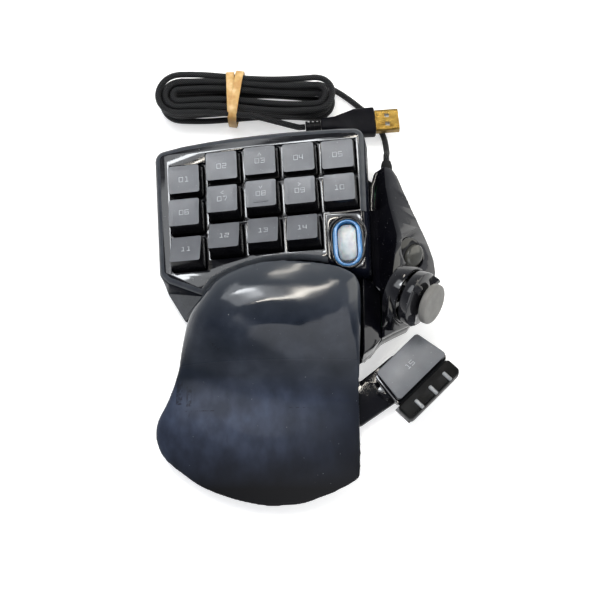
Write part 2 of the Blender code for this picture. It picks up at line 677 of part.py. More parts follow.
def panel_space(margin):
    """Corner of the deck that the wheel's panel fills, with a margin."""
    left = WHEEL_PLACE[0] - SURROUND_WIDTH / 2 - PANEL_SIDE - margin
    back = WHEEL_PLACE[1] + SURROUND_LENGTH / 2 + PANEL_BACK + margin
    right = DECK_WIDTH / 2 + OVERRUN
    near = -DECK_DEPTH / 2 - OVERRUN
    outline = ((left, near), (right, near), (right, back), (left, back))
    return stacked([level(outline, SKIRT_LOW - OVERRUN), level(outline, DECK_FACE + OVERRUN)])


def make_key(number, row, u, v):
    """Key cap: tapered and dished above, hollow below, on a stem."""
    near = NEAR_HEIGHTS[row]
    far = FAR_HEIGHTS[row]
    half = KEY_BASE / 2
    top = half - KEY_DRAFT * near
    front = TOP_SHIFTS[row] - KEY_TOP_LENGTH / 2
    rear = TOP_SHIFTS[row] + KEY_TOP_LENGTH / 2
    dish = 4 * KEY_EDGE
    ceiling = KEY_WALL
    rings = [square_ring(STEM_RADIUS, STEM_END, STEM_RADIUS * 0.6),
             square_ring(STEM_RADIUS, ceiling, STEM_RADIUS * 0.6),
             square_ring(half - 1.4 * KEY_WALL, ceiling, KEY_CORNER * 0.4),
             square_ring(half - KEY_WALL, -KEY_SKIRT, KEY_CORNER * 0.4),
             square_ring(half, -KEY_SKIRT, KEY_CORNER),
             cap_ring(top, front, rear, near - KEY_EDGE, far - KEY_EDGE, KEY_CORNER),
             cap_ring(top - KEY_EDGE, front + KEY_EDGE, rear - KEY_EDGE, near, far, KEY_CORNER),
             cap_ring(top - dish, front + dish, rear - dish, near - KEY_DISH, far - KEY_DISH, KEY_CORNER)]
    return add(f"key_{number:02d}", stacked(rings), "key_grey", deck, (u, v, 0))


def make_dome_sheet():
    """Rubber sheet with one hollow-looking dome under each key."""
    sheet = board_slab("dome_sheet", SHEET_TOP - SHEET_THICK, SHEET_TOP, "dome_rubber")
    for number, row, u, v in key_places():
        foot = circle(DOME_RADIUS, DOME_SIDES)
        rings = [level(foot, SHEET_TOP - SHEET_THICK / 2),
                 level(foot, SHEET_TOP + SHEET_THICK / 2),
                 level(circle(DOME_TOP_RADIUS, DOME_SIDES), DOME_TOP)]
        join(sheet, stacked(rings), deck, (u, v, 0))
    return sheet


def board_slab(name, low, high, surface):
    """Slab inside the skirt, with the wheel's corner left free."""
    outline = bezel_plan(BEZEL_WALL + GAP)
    slab = add(name, stacked([level(outline, low), level(outline, high)]), surface, deck)
    width = 2 * (SURROUND_WIDTH / 2 + BEZEL_WALL) + OVERRUN
    length = SURROUND_LENGTH + 2 * BEZEL_WALL
    corner = box((width, length + OVERRUN, DECK_FACE - SKIRT_LOW), (WHEEL_PLACE[0] + OVERRUN / 2,
                 WHEEL_PLACE[1] - OVERRUN / 2, (low + high) / 2))
    cut(slab, corner, deck)
    return slab


def make_board():
    """Circuit board below the domes."""
    return board_slab("key_board", SKIRT_LOW, BOARD_TOP, "board_green")


def make_case():
    """Lower wedge shell between the sloped skirt and the level base plate."""
    rim = [DECK_MATRIX @ Vector((x, y, CASE_RIM)) for x, y in bezel_foot(0)]
    inner = [DECK_MATRIX @ Vector((x, y, CASE_RIM)) for x, y in bezel_foot(BEZEL_WALL)]
    rings = [[(p.x, p.y, FLOOR_TOP) for p in inner],
             [tuple(p) for p in inner],
             [tuple(p) for p in rim],
             [(p.x, p.y, SEAT_LOW) for p in rim]]
    case = add("key_case", stacked(rings), "gloss_black")
    for x, y in screw_places():
        hole = circle(SCREW_RADIUS + GAP, 8)
        cut(case, stacked([level(hole, SEAT_LOW - RUN), level(hole, FLOOR_TOP + RUN)]), None, (x, y, 0))
    return case


# Wheel
wheel_hub = Vector((*WHEEL_PLACE, -WHEEL_DROP))


def make_surround():
    """Oval plate in the bezel, round the light guide."""
    outer = stadium(SURROUND_WIDTH, SURROUND_LENGTH)
    rings = soft_rings(shape_of(outer), DECK_FACE - RING_THICK, DECK_FACE + SURROUND_RISE, KEY_EDGE)
    plate = add("wheel_surround", stacked(rings), "gloss_black", deck, (*WHEEL_PLACE, 0))
    hole = inset(outer, SURROUND_WALL)
    cut(plate, stacked([level(hole, -OVERRUN), level(hole, OVERRUN)]), deck, (*WHEEL_PLACE, 0))
    return plate


def make_light_ring():
    """Light guide between the surround and the wheel."""
    outer = inset(stadium(SURROUND_WIDTH, SURROUND_LENGTH), SURROUND_WALL + GAP)
    rings = soft_rings(shape_of(outer), DECK_FACE - RING_THICK, DECK_FACE + LIGHT_RISE, KEY_EDGE)
    ring = add("wheel_light_ring", stacked(rings), "blue_light", deck, (*WHEEL_PLACE, 0))
    hole = stadium(WHEEL_WIDTH + 2 * RUN, 2 * WHEEL_RADIUS + 2 * RUN)
    cut(ring, stacked([level(hole, -OVERRUN), level(hole, OVERRUN)]), deck, (*WHEEL_PLACE, 0))
    return ring


def make_wheel():
    """Ribbed wheel turned about X, with its bore."""
    rings = []
    for place, size in WHEEL_CROWN_SHARES:
        ring = []
        for i in range(2 * WHEEL_RIBS):
            angle = math.pi * i / WHEEL_RIBS
            radius = WHEEL_RADIUS * size - (WHEEL_RIB if i % 2 else 0)
            ring.append((radius * math.cos(angle), radius * math.sin(angle), place * WHEEL_WIDTH / 2))
        rings.append(ring)
    wheel = add("scroll_wheel", stacked(rings), "smoke_white", deck, wheel_hub, (0, math.pi / 2, 0))
    bore = circle(AXLE_RADIUS + GAP, 12)
    cut(wheel, stacked([level(bore, -OVERRUN), level(bore, OVERRUN)]), deck, wheel_hub, (0, math.pi / 2, 0))
    return wheel


def carrier_sizes():
    """Inner half width, outer half width, top and bottom of the bracket."""
    inner = WHEEL_WIDTH / 2 + RUN
    outer = inner + CARRIER_FLOOR
    top = DECK_FACE - RING_THICK - GAP + WHEEL_DROP
    low = -WHEEL_RADIUS - RUN - CARRIER_FLOOR
    return inner, outer, top, low


def make_carrier():
    """U bracket with the axle's bores."""
    inner, outer, top, low = carrier_sizes()
    size = (2 * outer, CARRIER_LENGTH, top - low)
    bracket = add("wheel_carrier", box(size, (0, 0, (top + low) / 2)), "dark_plastic", deck, wheel_hub)
    slot = (2 * inner, 2 * CARRIER_LENGTH, top - low)
    cut(bracket, box(slot, (0, 0, (top + low) / 2 + CARRIER_FLOOR)), deck, wheel_hub)
    bore = circle(AXLE_RADIUS + GAP, 12)
    cut(bracket, stacked([level(bore, -OVERRUN), level(bore, OVERRUN)]), deck, wheel_hub, (0, math.pi / 2, 0))
    return bracket


def make_axle():
    """Steel axle through the bracket."""
    inner, outer, top, low = carrier_sizes()
    bar = circle(AXLE_RADIUS, 12)
    rings = [level(bar, GAP - outer), level(bar, outer - GAP)]
    return add("wheel_axle", stacked(rings), "steel", deck, wheel_hub, (0, math.pi / 2, 0))


# Base
BASE_OUTLINE_SHARES = (
    (-0.53, 0.60, 1.0), (-0.49, 0.16, 1.0), (-0.40, 0.02, 1.0), (-0.33, -0.36, 1.0),
    (0.17, -0.36, 1.0), (0.18, -0.15, 0.5), (0.25, -0.11, 0.5), (0.36, 0.02, 0.5), (0.42, 0.16, 1.0),
    (0.40, 0.30, 1.0), (0.32, 0.52, 1.0), (0.24, 0.58, 0.5), (0.22, 0.62, 0.5))
# Screws in shares of the deck's width and depth, feet in shares of the base's
SCREW_PLACE_SHARES = ((-0.342, 0.208), (0.365, 0.243), (-0.318, -0.359))
FOOT_PLACE_SHARES = ((-0.47, 0.55), (0.17, 0.57), (0.33, 0.12), (-0.28, -0.30))


def screw_places():
    """Screws through the base plate into the key case."""
    return [(DECK_PLACE[0] + x * DECK_WIDTH, DECK_PLACE[1] + y * DECK_DEPTH) for x, y in SCREW_PLACE_SHARES]


def make_base_plate():
    """Plate under everything, with counterbored screw holes."""
    outline = filleted(scaled(BASE_OUTLINE_SHARES, BASE_WIDTH, BASE_LENGTH, BASE_CORNER), 3)
    plate = add("base_plate", stacked([level(outline, BASE_LOW), level(outline, BASE_TOP)]), "dark_plastic")
    head = SCREW_HEAD_RADIUS + GAP
    bore = SCREW_RADIUS + GAP
    shoulder = BASE_LOW + SCREW_HEAD_HEIGHT + GAP
    for x, y in screw_places():
        profile = ((0, BASE_LOW - RUN), (head, BASE_LOW - RUN), (head, shoulder), (bore, shoulder),
                   (bore, BASE_TOP + RUN), (0, BASE_TOP + RUN))
        cut(plate, turned(profile, 12), None, (x, y, 0))
    return plate


def make_screw(number, x, y):
    """Pan-head screw, head down in its counterbore."""
    top = BASE_LOW + SCREW_HEAD_HEIGHT
    profile = ((0, BASE_LOW), (SCREW_HEAD_RADIUS, BASE_LOW), (SCREW_HEAD_RADIUS, top),
               (SCREW_RADIUS, top), (SCREW_RADIUS, top + SCREW_LENGTH), (0, top + SCREW_LENGTH))
    return add(f"case_screw_{number}", turned(profile, 12), "steel", None, (x, y, 0))


def make_foot(number, x, y):
    """Round rubber foot."""
    rings = [level(circle(FOOT_RADIUS - RUN, 16), 0), level(circle(FOOT_RADIUS, 16), FOOT_HEIGHT)]
    return add(f"foot_{number}", stacked(rings), "black_rubber", None, (x, y, 0))


# Palm rest
def eased(shares, position):
    """Smooth value between the rows of a table of (place, value)."""
    for i, (start, value) in enumerate(shares[:-1]):
        end, following = shares[i + 1]
        if position <= end or i == len(shares) - 2:
            before = shares[max(i - 1, 0)]
            after = shares[min(i + 2, len(shares) - 1)]
            t = min(max((position - start) / (end - start), 0), 1)
            slope_in = (following - before[1]) / (end - before[0]) * (end - start)
            slope_out = (after[1] - value) / (after[0] - start) * (end - start)
            lift = (2 * t ** 3 - 3 * t ** 2 + 1) * value + (3 * t ** 2 - 2 * t ** 3) * following
            return lift + (t ** 3 - 2 * t ** 2 + t) * slope_in + (t ** 3 - t ** 2) * slope_out


def smooth_loop(points):
    """Doubles the points of a closed loop along a smooth curve."""
    smooth = []
    count = len(points)
    for i, point in enumerate(points):
        a, b, c, d = (Vector(points[(i + k) % count]) for k in (-1, 0, 1, 2))
        smooth.append(tuple(b))
        smooth.append(tuple((9 * (b + c) - (a + d)) / 16))
    return smooth


palm_loop = smooth_loop(PALM_OUTLINE_SHARES[::-1])
PALM_CENTRE = (PALM_LEFT + PALM_CENTRE_SHARES[0] * PALM_WIDTH, PALM_FRONT + PALM_CENTRE_SHARES[1] * PALM_LENGTH)
palm_outline = [(PALM_LEFT + x * PALM_WIDTH, PALM_FRONT + y * PALM_LENGTH) for x, y, rim in palm_loop]
palm_rims = [rim * PALM_CREST for x, y, rim in palm_loop]


def palm_drawn(depth):
    """The palm's outline drawn towards its centre by about a depth."""
    keep = 1 - depth / (PALM_WIDTH / 2)
    return [(PALM_CENTRE[0] + (x - PALM_CENTRE[0]) * keep, PALM_CENTRE[1] + (y - PALM_CENTRE[1]) * keep)
            for x, y in palm_outline]


def palm_height(x, y):
    """Height of the crown, whose profile bows back towards the sides."""
    aside = (x - PALM_LEFT - PALM_BOW_SHARE * PALM_WIDTH) / (PALM_WIDTH / 2)
    share = (y - PALM_BOW * aside ** 2 - PALM_FRONT) / PALM_LENGTH
    return eased(PALM_PROFILE_SHARES, share) * PALM_CREST


def palm_ring(scale, rise, sink):
    """Ring of the palm's surface, drawn towards its centre."""
    ring = []
    for (x, y), rim in zip(palm_outline, palm_rims):
        px = PALM_CENTRE[0] + (x - PALM_CENTRE[0]) * scale
        py = PALM_CENTRE[1] + (y - PALM_CENTRE[1]) * scale
        ring.append((px, py, rim + (palm_height(px, py) - rim) * rise - sink))
    return ring


def palm_foot_height(x_share, y_share):
    """Bottom of the palm's wall: over the arm, over the base plate or low."""
    if x_share > 0.99 and PALM_ARM_SHARES[0] < y_share < PALM_ARM_SHARES[1]:
        return ARM_TOP + GAP
    if y_share > PALM_PLATE_SHARE:
        return BASE_TOP + RUN + GAP
    return BASE_LOW


def make_palm_rest():
    """Moulded shell: crown, rolled rim, wall set in beneath it, open underside."""
    outer = [palm_ring(scale, rise, 0) for scale, rise in reversed(PALM_RING_SHARES)]
    under = palm_drawn(PALM_LIP)
    lip = [(x, y, rim - PALM_LIP_DROP) for (x, y), rim in zip(under, palm_rims)]
    feet = [palm_foot_height(x, y) for x, y, rim in palm_loop]
    low = palm_drawn(PALM_LIP + PALM_DRAW)
    inner_low = palm_drawn(PALM_LIP + PALM_DRAW + PALM_SHELL)
    wall = [[(x, y, z) for (x, y), z in zip(ring, feet)] for ring in (low, inner_low)]
    top = []
    for (x, y), rim in zip(inner_low, palm_rims):
        top.append((x, y, rim + (palm_height(x, y) - rim) * 0.5 - PALM_SHELL))
    inner = [palm_ring(scale, rise, PALM_SHELL) for scale, rise in PALM_INNER_RING_SHARES]
    return add("palm_rest", stacked(outer + [lip] + wall + [top] + inner), "matte_charcoal")


def make_palm_tray():
    """Floor of the palm rest with the tongue that runs in the rail."""
    outline = palm_drawn(PALM_LIP + PALM_DRAW + PALM_SHELL + RUN)
    rings = [level(outline, TRAY_LOW), level(outline, TRAY_LOW + TRAY_THICK)]
    tray = add("palm_tray", stacked(rings), "dark_plastic")
    low = SEAT_LOW + RAIL_FLOOR + GAP
    high = TRAY_LOW + TRAY_THICK / 2
    size = (RAIL_WIDTH - 2 * RAIL_WALL - 2 * GAP, TONGUE_LENGTH, high - low)
    middle = RAIL_FRONT + RAIL_LENGTH - RUN - TONGUE_LENGTH / 2
    join(tray, box(size, (RAIL_PLACE_X, middle, (low + high) / 2)))
    return tray


def make_rail():
    """Channel on the base plate."""
    size = (RAIL_WIDTH, RAIL_LENGTH, RAIL_HEIGHT)
    centre = (RAIL_PLACE_X, RAIL_FRONT + RAIL_LENGTH / 2, SEAT_LOW + RAIL_HEIGHT / 2)
    rail = add("palm_rail", box(size, centre), "dark_plastic")
    slot = (RAIL_WIDTH - 2 * RAIL_WALL, 2 * RAIL_LENGTH, RAIL_HEIGHT)
    cut(rail, box(slot, (centre[0], centre[1], centre[2] + RAIL_FLOOR)))
    return rail


def make_palm_foot():
    """Rubber strip under the front wall."""
    count = len(palm_loop)
    chosen = [i for i in range(count) if palm_loop[i][1] < 0.24 and palm_loop[i][0] < 0.95]
    middle_in = PALM_LIP + PALM_DRAW + PALM_SHELL / 2
    outer = palm_drawn(middle_in - PALM_FOOT_WIDTH / 2)
    inner = palm_drawn(middle_in + PALM_FOOT_WIDTH / 2)
    outline = [outer[i] for i in chosen] + [inner[i] for i in reversed(chosen)]
    outline.reverse()
    return add("palm_foot", stacked([level(outline, 0), level(outline, FOOT_HEIGHT)]), "black_rubber")


# Thumb module
thumb_origin = (THUMB_LEFT, THUMB_FRONT)
thumb_plan = plan_of(scaled(THUMB_OUTLINE_SHARES, THUMB_WIDTH, THUMB_LENGTH, THUMB_CORNER, thumb_origin), 3)
cover_plan = plan_of(scaled(COVER_OUTLINE_SHARES, COVER_WIDTH, COVER_LENGTH, COVER_CORNER, thumb_origin), 3)
pad_turn = (0, math.pi / 2 - PAD_ELEVATION, PAD_AZIMUTH)
pad_mount = frame("pad_mount", PAD_PLACE, pad_turn)
button_turn = (0, math.pi / 2 - BUTTON_ELEVATION, BUTTON_AZIMUTH)
button_mount = frame("button_mount", BUTTON_PLACE, button_turn)
housing_radius = PAD_RADIUS + HOUSING_FLARE


def housing_space():
    """Room that the housing takes, and the wider room in which the pad swings."""
    snug = circle(housing_radius + GAP, 28)
    wide = circle(PAD_RADIUS + PAD_SWING_SPACE, 28)
    return stacked([level(snug, -HOUSING_DEPTH - GAP), level(snug, -PAD_MOUTH), level(wide, -PAD_MOUTH),
                    level(wide, PAD_RADIUS * 3)])


def make_thumb_base():
    """Lower shell, a tray with a wall."""
    rings = [level(thumb_plan(0), SEAT_LOW), level(thumb_plan(0), THUMB_SPLIT)]
    shell = add("thumb_base", stacked(rings), "gloss_black")
    inner = thumb_plan(THUMB_WALL)
    cut(shell, stacked([level(inner, SEAT_LOW + THUMB_FLOOR), level(inner, THUMB_SPLIT + OVERRUN)]))
    cut(shell, housing_space(), pad_mount)
    return shell


def make_thumb_board():
    """Circuit board in the lower shell."""
    outline = thumb_plan(THUMB_WALL + GAP)
    low = SEAT_LOW + THUMB_FLOOR + RUN
    board = add("thumb_board", stacked([level(outline, low), level(outline, low + BOARD_THICK)]), "board_green")
    cut(board, housing_space(), pad_mount)
    return board


def wing_roof(rise=0):
    """Body under the wing's roof, from the desk up; a rise lifts its upper side."""
    sections = []
    for y, inner, ridge, outer, ridge_x in WING_ROOF_SHARES:
        place = THUMB_FRONT + y * THUMB_LENGTH
        left = THUMB_LEFT - THUMB_WALL
        right = THUMB_LEFT + THUMB_WIDTH + THUMB_WALL
        valley = THUMB_LEFT + WING_VALLEY_SHARE * THUMB_WIDTH
        peak = THUMB_LEFT + ridge_x * THUMB_WIDTH
        low, high, side = (share * THUMB_TOP + rise for share in (inner, ridge, outer))
        sections.append([(left, place, 0), (right, place, 0), (right, place, side),
                         (peak + THUMB_WALL, place, high - KEY_EDGE), (peak, place, high),
                         (valley, place, low), (left, place, low - THUMB_WALL)])
    return stacked(sections)


def ribbon(line, width):
    """Outline of a flat band along a line."""
    sides = [[], []]
    for i, point in enumerate(line):
        way = (Vector(line[min(i + 1, len(line) - 1)]) - Vector(line[max(i - 1, 0)])).normalized()
        across = Vector((-way.y, way.x)) * width / 2
        sides[0].append(tuple(Vector(point) + across))
        sides[1].append(tuple(Vector(point) - across))
    return sides[0] + sides[1][::-1]


def make_wing():
    """Upper shell: the outline's prism under the ridged roof, open below the pad."""
    outline = thumb_plan(0)
    rings = [level(outline, THUMB_SPLIT + GAP), level(outline, THUMB_TOP + OVERRUN)]
    wing = add("thumb_wing", stacked(rings), "gloss_black")
    combine(wing, add("tool", wing_roof(), "steel"), "INTERSECT")
    line = scaled([(*share, 0) for share in RIM_LINE_SHARES], THUMB_WIDTH, THUMB_LENGTH, 0, thumb_origin)
    band = ribbon([corner[:2] for corner in line], RIM_WIDTH)
    rim = add("rim", stacked([level(band, THUMB_SPLIT + GAP), level(band, THUMB_TOP + OVERRUN)]), "steel")
    combine(rim, add("tool", wing_roof(RIM_RISE), "steel"), "INTERSECT")
    combine(wing, rim, "UNION")
    cut(wing, cover_space())
    front = box((2 * (COVER_WIDTH + GAP), COVER_LENGTH, 4 * THUMB_TOP), (*thumb_origin, 0))
    cut(wing, front)
    cut(wing, housing_space(), pad_mount)
    swing = 2 * (PAD_RADIUS + PAD_SWING_SPACE)
    reach = PAD_MOUTH + OVERRUN
    cut(wing, box((swing, swing, reach), (swing / 2, 0, reach / 2 - PAD_MOUTH)), pad_mount)
    cut(wing, lens_space(LENS_WIDTH, LENS_LENGTH), button_mount)
    cut(wing, lens_space(BUTTON_WIDTH, BUTTON_LENGTH), button_mount, (BUTTON_SHIFT, 0, 0))
    return wing


def cover_space():
    """Room for the side cover in the wing."""
    outline = cover_plan(-GAP)
    return stacked([level(outline, 0), level(outline, THUMB_TOP + OVERRUN)])


def make_side_cover():
    """Gloss panel beside the palm rest, sloping down towards the thumb."""
    outline = cover_plan(0)
    low = THUMB_SPLIT + GAP
    upper = []
    for x, y in cover_plan(KEY_EDGE):
        share = (x - THUMB_LEFT) / COVER_WIDTH
        upper.append((x, y, COVER_HIGH - (COVER_HIGH - COVER_LOW) * share))
    lower = [(x, y, z - KEY_EDGE) for (x, y), (_, _, z) in zip(outline, upper)]
    cover = add("side_cover", stacked([level(outline, low), lower, upper]), "gloss_black")
    cut(cover, housing_space(), pad_mount)
    return cover


def make_housing():
    """Cup of the pad with the two ears of the first tilting axis."""
    floor = -HOUSING_DEPTH
    mouth = -PAD_MOUTH
    inner = housing_radius - HOUSING_WALL
    profile = ((0, floor), (housing_radius, floor), (housing_radius, mouth), (inner, mouth),
               (inner, floor + HOUSING_FLOOR), (0, floor + HOUSING_FLOOR))
    cup = add("pad_housing", turned(profile, 28), "gloss_black", pad_mount)
    top = YOKE_PIN - YOKE_DEPTH
    height = top - floor - HOUSING_FLOOR / 2
    reach = YOKE_SIZE / 2 + RUN + LUG_THICK / 2
    for side in (-1, 1):
        ear = box((LUG_THICK, LUG_WIDTH, height), (side * reach, 0, top - height / 2))
        join(cup, ear, pad_mount)
    hole = YOKE_PIN + 2 * GAP
    cut(cup, box((2 * reach + 2 * LUG_THICK, hole, hole), (0, 0, -YOKE_DEPTH)), pad_mount)
    return cup


def make_yoke():
    """Cross piece: a block with four pins."""
    bm = box((YOKE_SIZE, YOKE_SIZE, YOKE_THICK))
    sides = [face for face in bm.faces if abs(face.normal.z) < 0.5]
    bmesh.ops.inset_individual(bm, faces=sides, thickness=(YOKE_THICK - YOKE_PIN) / 2)
    for face in sides:
        middle = face.calc_center_median()
        normal = face.normal.copy()
        across = Vector((-normal.y, normal.x, 0))
        for vert in face.verts:
            offset = (vert.co - middle).dot(across)
            vert.co += across * (math.copysign(YOKE_PIN / 2, offset) - offset)
        grown = bmesh.ops.extrude_discrete_faces(bm, faces=[face])
        bmesh.ops.translate(bm, vec=normal * YOKE_PIN_LENGTH, verts=grown["faces"][0].verts)
    return add("pad_yoke", bm, "steel", pad_mount, (0, 0, -YOKE_DEPTH))


def make_pad():
    """Drum with a crowned face, four raised marks and two ears beneath."""
    low = YOKE_DEPTH - PAD_THICK
    crown = YOKE_DEPTH - PAD_CROWN
    profile = ((0, low), (PAD_RADIUS - KEY_EDGE, low), (PAD_RADIUS, low + KEY_EDGE), (PAD_RADIUS, crown - KEY_EDGE),
               (PAD_RADIUS - KEY_EDGE, crown), (PAD_RADIUS * 0.6, YOKE_DEPTH - PAD_CROWN * 0.3), (0, YOKE_DEPTH))
    pad = add("thumb_pad", turned(profile, 28), "gloss_black", pad_mount, (0, 0, -YOKE_DEPTH))
    for turn in range(4):
        half = PAD_MARK_WIDTH / 2
        outline = ((-half, PAD_RADIUS - PAD_MARK_LENGTH), (half, PAD_RADIUS - PAD_MARK_LENGTH),
                   (half, PAD_RADIUS - KEY_EDGE), (-half, PAD_RADIUS - KEY_EDGE))
        rises = (PAD_MARK_RISE / 2, PAD_MARK_RISE / 2, PAD_MARK_RISE, PAD_MARK_RISE)
        top = [(x * 0.5, min(y, PAD_RADIUS - 2 * KEY_EDGE), crown + rise) for (x, y), rise in zip(outline, rises)]
        mark = stacked([level(outline, crown - KEY_EDGE), top])
        join(pad, mark, pad_mount, (0, 0, -YOKE_DEPTH), (0, 0, turn * math.pi / 2))
    reach = YOKE_SIZE / 2 + RUN + LUG_THICK / 2
    height = low + YOKE_PIN + KEY_EDGE
    for side in (-1, 1):
        ear = box((LUG_WIDTH, LUG_THICK, height), (0, side * reach, low + KEY_EDGE - height / 2))
        join(pad, ear, pad_mount, (0, 0, -YOKE_DEPTH))
    hole = YOKE_PIN + 2 * GAP
    cut(pad, box((hole, 2 * reach + 2 * LUG_THICK, hole)), pad_mount, (0, 0, -YOKE_DEPTH))
    return pad


def make_stick():
    """Turned post of the stick."""
    foot = YOKE_DEPTH + GAP
    top = foot + STICK_LENGTH
    profile = ((0, foot), (STICK_RADIUS * 1.6, foot), (STICK_RADIUS * 1.6, foot + STICK_LENGTH * 0.25),
               (STICK_RADIUS, foot + STICK_LENGTH * 0.45), (STICK_RADIUS, top), (0, top))
    return add("thumb_stick", turned(profile, 20), "gloss_black", pad_mount, (0, 0, -YOKE_DEPTH))


def make_cap():
    """Thick round cap with a dished face and a socket for the post."""
    low = YOKE_DEPTH + GAP + STICK_LENGTH - CAP_THICK / 2
    top = low + CAP_THICK
    socket = STICK_RADIUS + GAP
    roof = YOKE_DEPTH + 2 * GAP + STICK_LENGTH
    profile = ((0, roof), (socket, roof), (socket, low), (CAP_RADIUS - CAP_EDGE, low), (CAP_RADIUS, low + CAP_EDGE),
               (CAP_RADIUS, top - CAP_EDGE), (CAP_RADIUS - CAP_EDGE * 0.3, top - CAP_EDGE * 0.3),
               (CAP_RADIUS - CAP_EDGE, top), (CAP_RADIUS * 0.6, top - KEY_EDGE / 2), (0, top - KEY_EDGE))
    return add("stick_cap", turned(profile, 28), "stick_grey", pad_mount, (0, 0, -YOKE_DEPTH))


def lens_space(width, length):
    """Well for the window or the button."""
    outline = ellipse(width + 2 * GAP, length + 2 * GAP, 28)
    return stacked([level(outline, -BUTTON_DEPTH - BUTTON_TRAVEL), level(outline, OVERRUN)])


def make_lens():
    """Dark oval window with the button's hole."""
    outline = ellipse(LENS_WIDTH, LENS_LENGTH, 28)
    rings = soft_rings(shape_of(outline), -LENS_THICK, 0, KEY_EDGE)
    lens = add("status_lens", stacked(rings), "gloss_black", button_mount)
    hole = ellipse(BUTTON_WIDTH + 2 * GAP, BUTTON_LENGTH + 2 * GAP, 24)
    cut(lens, stacked([level(hole, -OVERRUN), level(hole, OVERRUN)]), button_mount, (BUTTON_SHIFT, 0, 0))
    return lens


def make_mode_button():
    """Egg-shaped button with a soft crown."""
    outline = ellipse(BUTTON_WIDTH, BUTTON_LENGTH, 24)
    rings = soft_rings(shape_of(outline), -BUTTON_DEPTH, BUTTON_RISE, BUTTON_RISE)
    return add("mode_button", stacked(rings), "key_grey", button_mount, (BUTTON_SHIFT, 0, 0))


# Strap, key 15 and grip
k15_mount = frame("key_15_mount", K15_PLACE, (K15_TILT, 0, K15_YAW))


def k15_plan(depth):
    """Tapered plan of key 15 at a depth; a negative depth grows it."""
    near = -K15_DEPTH / 2
    far = K15_DEPTH / 2
    wide = K15_WIDTH / 2 + K15_FLARE / 2
    slim = K15_WIDTH / 2 - K15_FLARE / 2
    corner = K15_CORNER
    corners = ((-wide, near, corner), (wide, near, corner), (slim, far, corner), (-slim, far, corner))
    return plan_of(corners, 3)(depth)


def make_arm():
    """Flat strap from the base plate to key 15."""
    origin = (ARM_ROOT_X, ARM_ROOT_Y)
    plan = plan_of(scaled(ARM_OUTLINE_SHARES, ARM_WIDTH, ARM_LENGTH, ARM_CORNER, origin), 3)
    return add("thumb_arm", stacked(soft_rings(plan, SEAT_LOW, ARM_TOP, KEY_EDGE)), "gloss_black")


def make_k15_frame():
    """Tray round key 15 with a floor, the grip's ledge and a post to the strap."""
    under = -K15_THICK - K15_TRAVEL - RUN
    wall_top = -K15_PLATE - K15_TRAVEL - GAP
    outer = k15_plan(-FRAME_RIM)
    rings = [level(outer, under - FRAME_FLOOR), level(outer, wall_top)]
    tray = add("key_15_frame", stacked(rings), "gloss_black", k15_mount)
    inner = k15_plan(K15_OVERHANG - RUN)
    cut(tray, stacked([level(inner, under), level(inner, OVERRUN)]), k15_mount)
    bore = circle(K15_STEM + GAP, 16)
    cut(tray, stacked([level(bore, -OVERRUN - OVERRUN), level(bore, 0)]), k15_mount)
    ledge_y = -K15_DEPTH / 2 - GRIP_DEPTH / 2
    ledge = (GRIP_WIDTH, GRIP_DEPTH, FRAME_FLOOR)
    join(tray, box(ledge, (GRIP_SHIFT, ledge_y, -GRIP_DROP - GRIP_HEIGHT - GAP - FRAME_FLOOR / 2)), k15_mount)
    post = rounded_box(2 * FRAME_POST, FRAME_POST, FRAME_WALL)
    bottom = ARM_TOP + GAP
    k15_mount_height = K15_PLACE[2] + under - FRAME_FLOOR / 2
    shape = stacked([level(post, bottom), level(post, k15_mount_height)])
    reach = FRAME_POST + K15_STEM + FRAME_WALL
    place = (K15_PLACE[0] - reach * math.cos(K15_YAW), K15_PLACE[1] - reach * math.sin(K15_YAW), 0)
    join(tray, shape, None, place, (0, 0, K15_YAW))
    return tray


def make_key_15():
    """Long thumb key that hangs over its frame, on a round stem."""
    block = k15_plan(K15_OVERHANG)
    rings = [level(block, -K15_THICK), level(block, -K15_PLATE)] + soft_rings(k15_plan, -K15_PLATE, 0, K15_EDGE)
    key = add("key_15", stacked(rings), "key_grey", k15_mount)
    stem = circle(K15_STEM, 16)
    low = -K15_THICK - K15_TRAVEL - RUN - FRAME_FLOOR / 2
    join(key, stacked([level(stem, low), level(stem, -K15_THICK / 2)]), k15_mount)
    return key


def make_grip():
    """Rubber bar with raised ribs across it."""
    plan = plan_of(box_corners(GRIP_WIDTH, GRIP_DEPTH, GRIP_CORNER), 3)
    centre_y = -K15_DEPTH / 2 - FRAME_RIM - GAP - GRIP_DEPTH / 2
    rib_y = centre_y - GRIP_DEPTH / 2 + KEY_EDGE + GRIP_RIB_LENGTH / 2
    top = -GRIP_DROP
    rings = soft_rings(plan, top - GRIP_HEIGHT, top, 2 * KEY_EDGE)
    grip = add("thumb_grip", stacked(rings), "black_rubber", k15_mount, (GRIP_SHIFT, centre_y, 0))
    for index in range(GRIP_RIBS):
        x = GRIP_SHIFT / 2 + (index - (GRIP_RIBS - 1) / 2) * GRIP_RIB_PITCH
        rib = rounded_box(GRIP_RIB_WIDTH, GRIP_RIB_LENGTH, GRIP_RIB_WIDTH * 0.45)
        shape = stacked([level(rib, top - GRIP_RIB_RISE), level(rib, top + GRIP_RIB_RISE)])
        join(grip, shape, k15_mount, (x, rib_y, 0))
    return grip


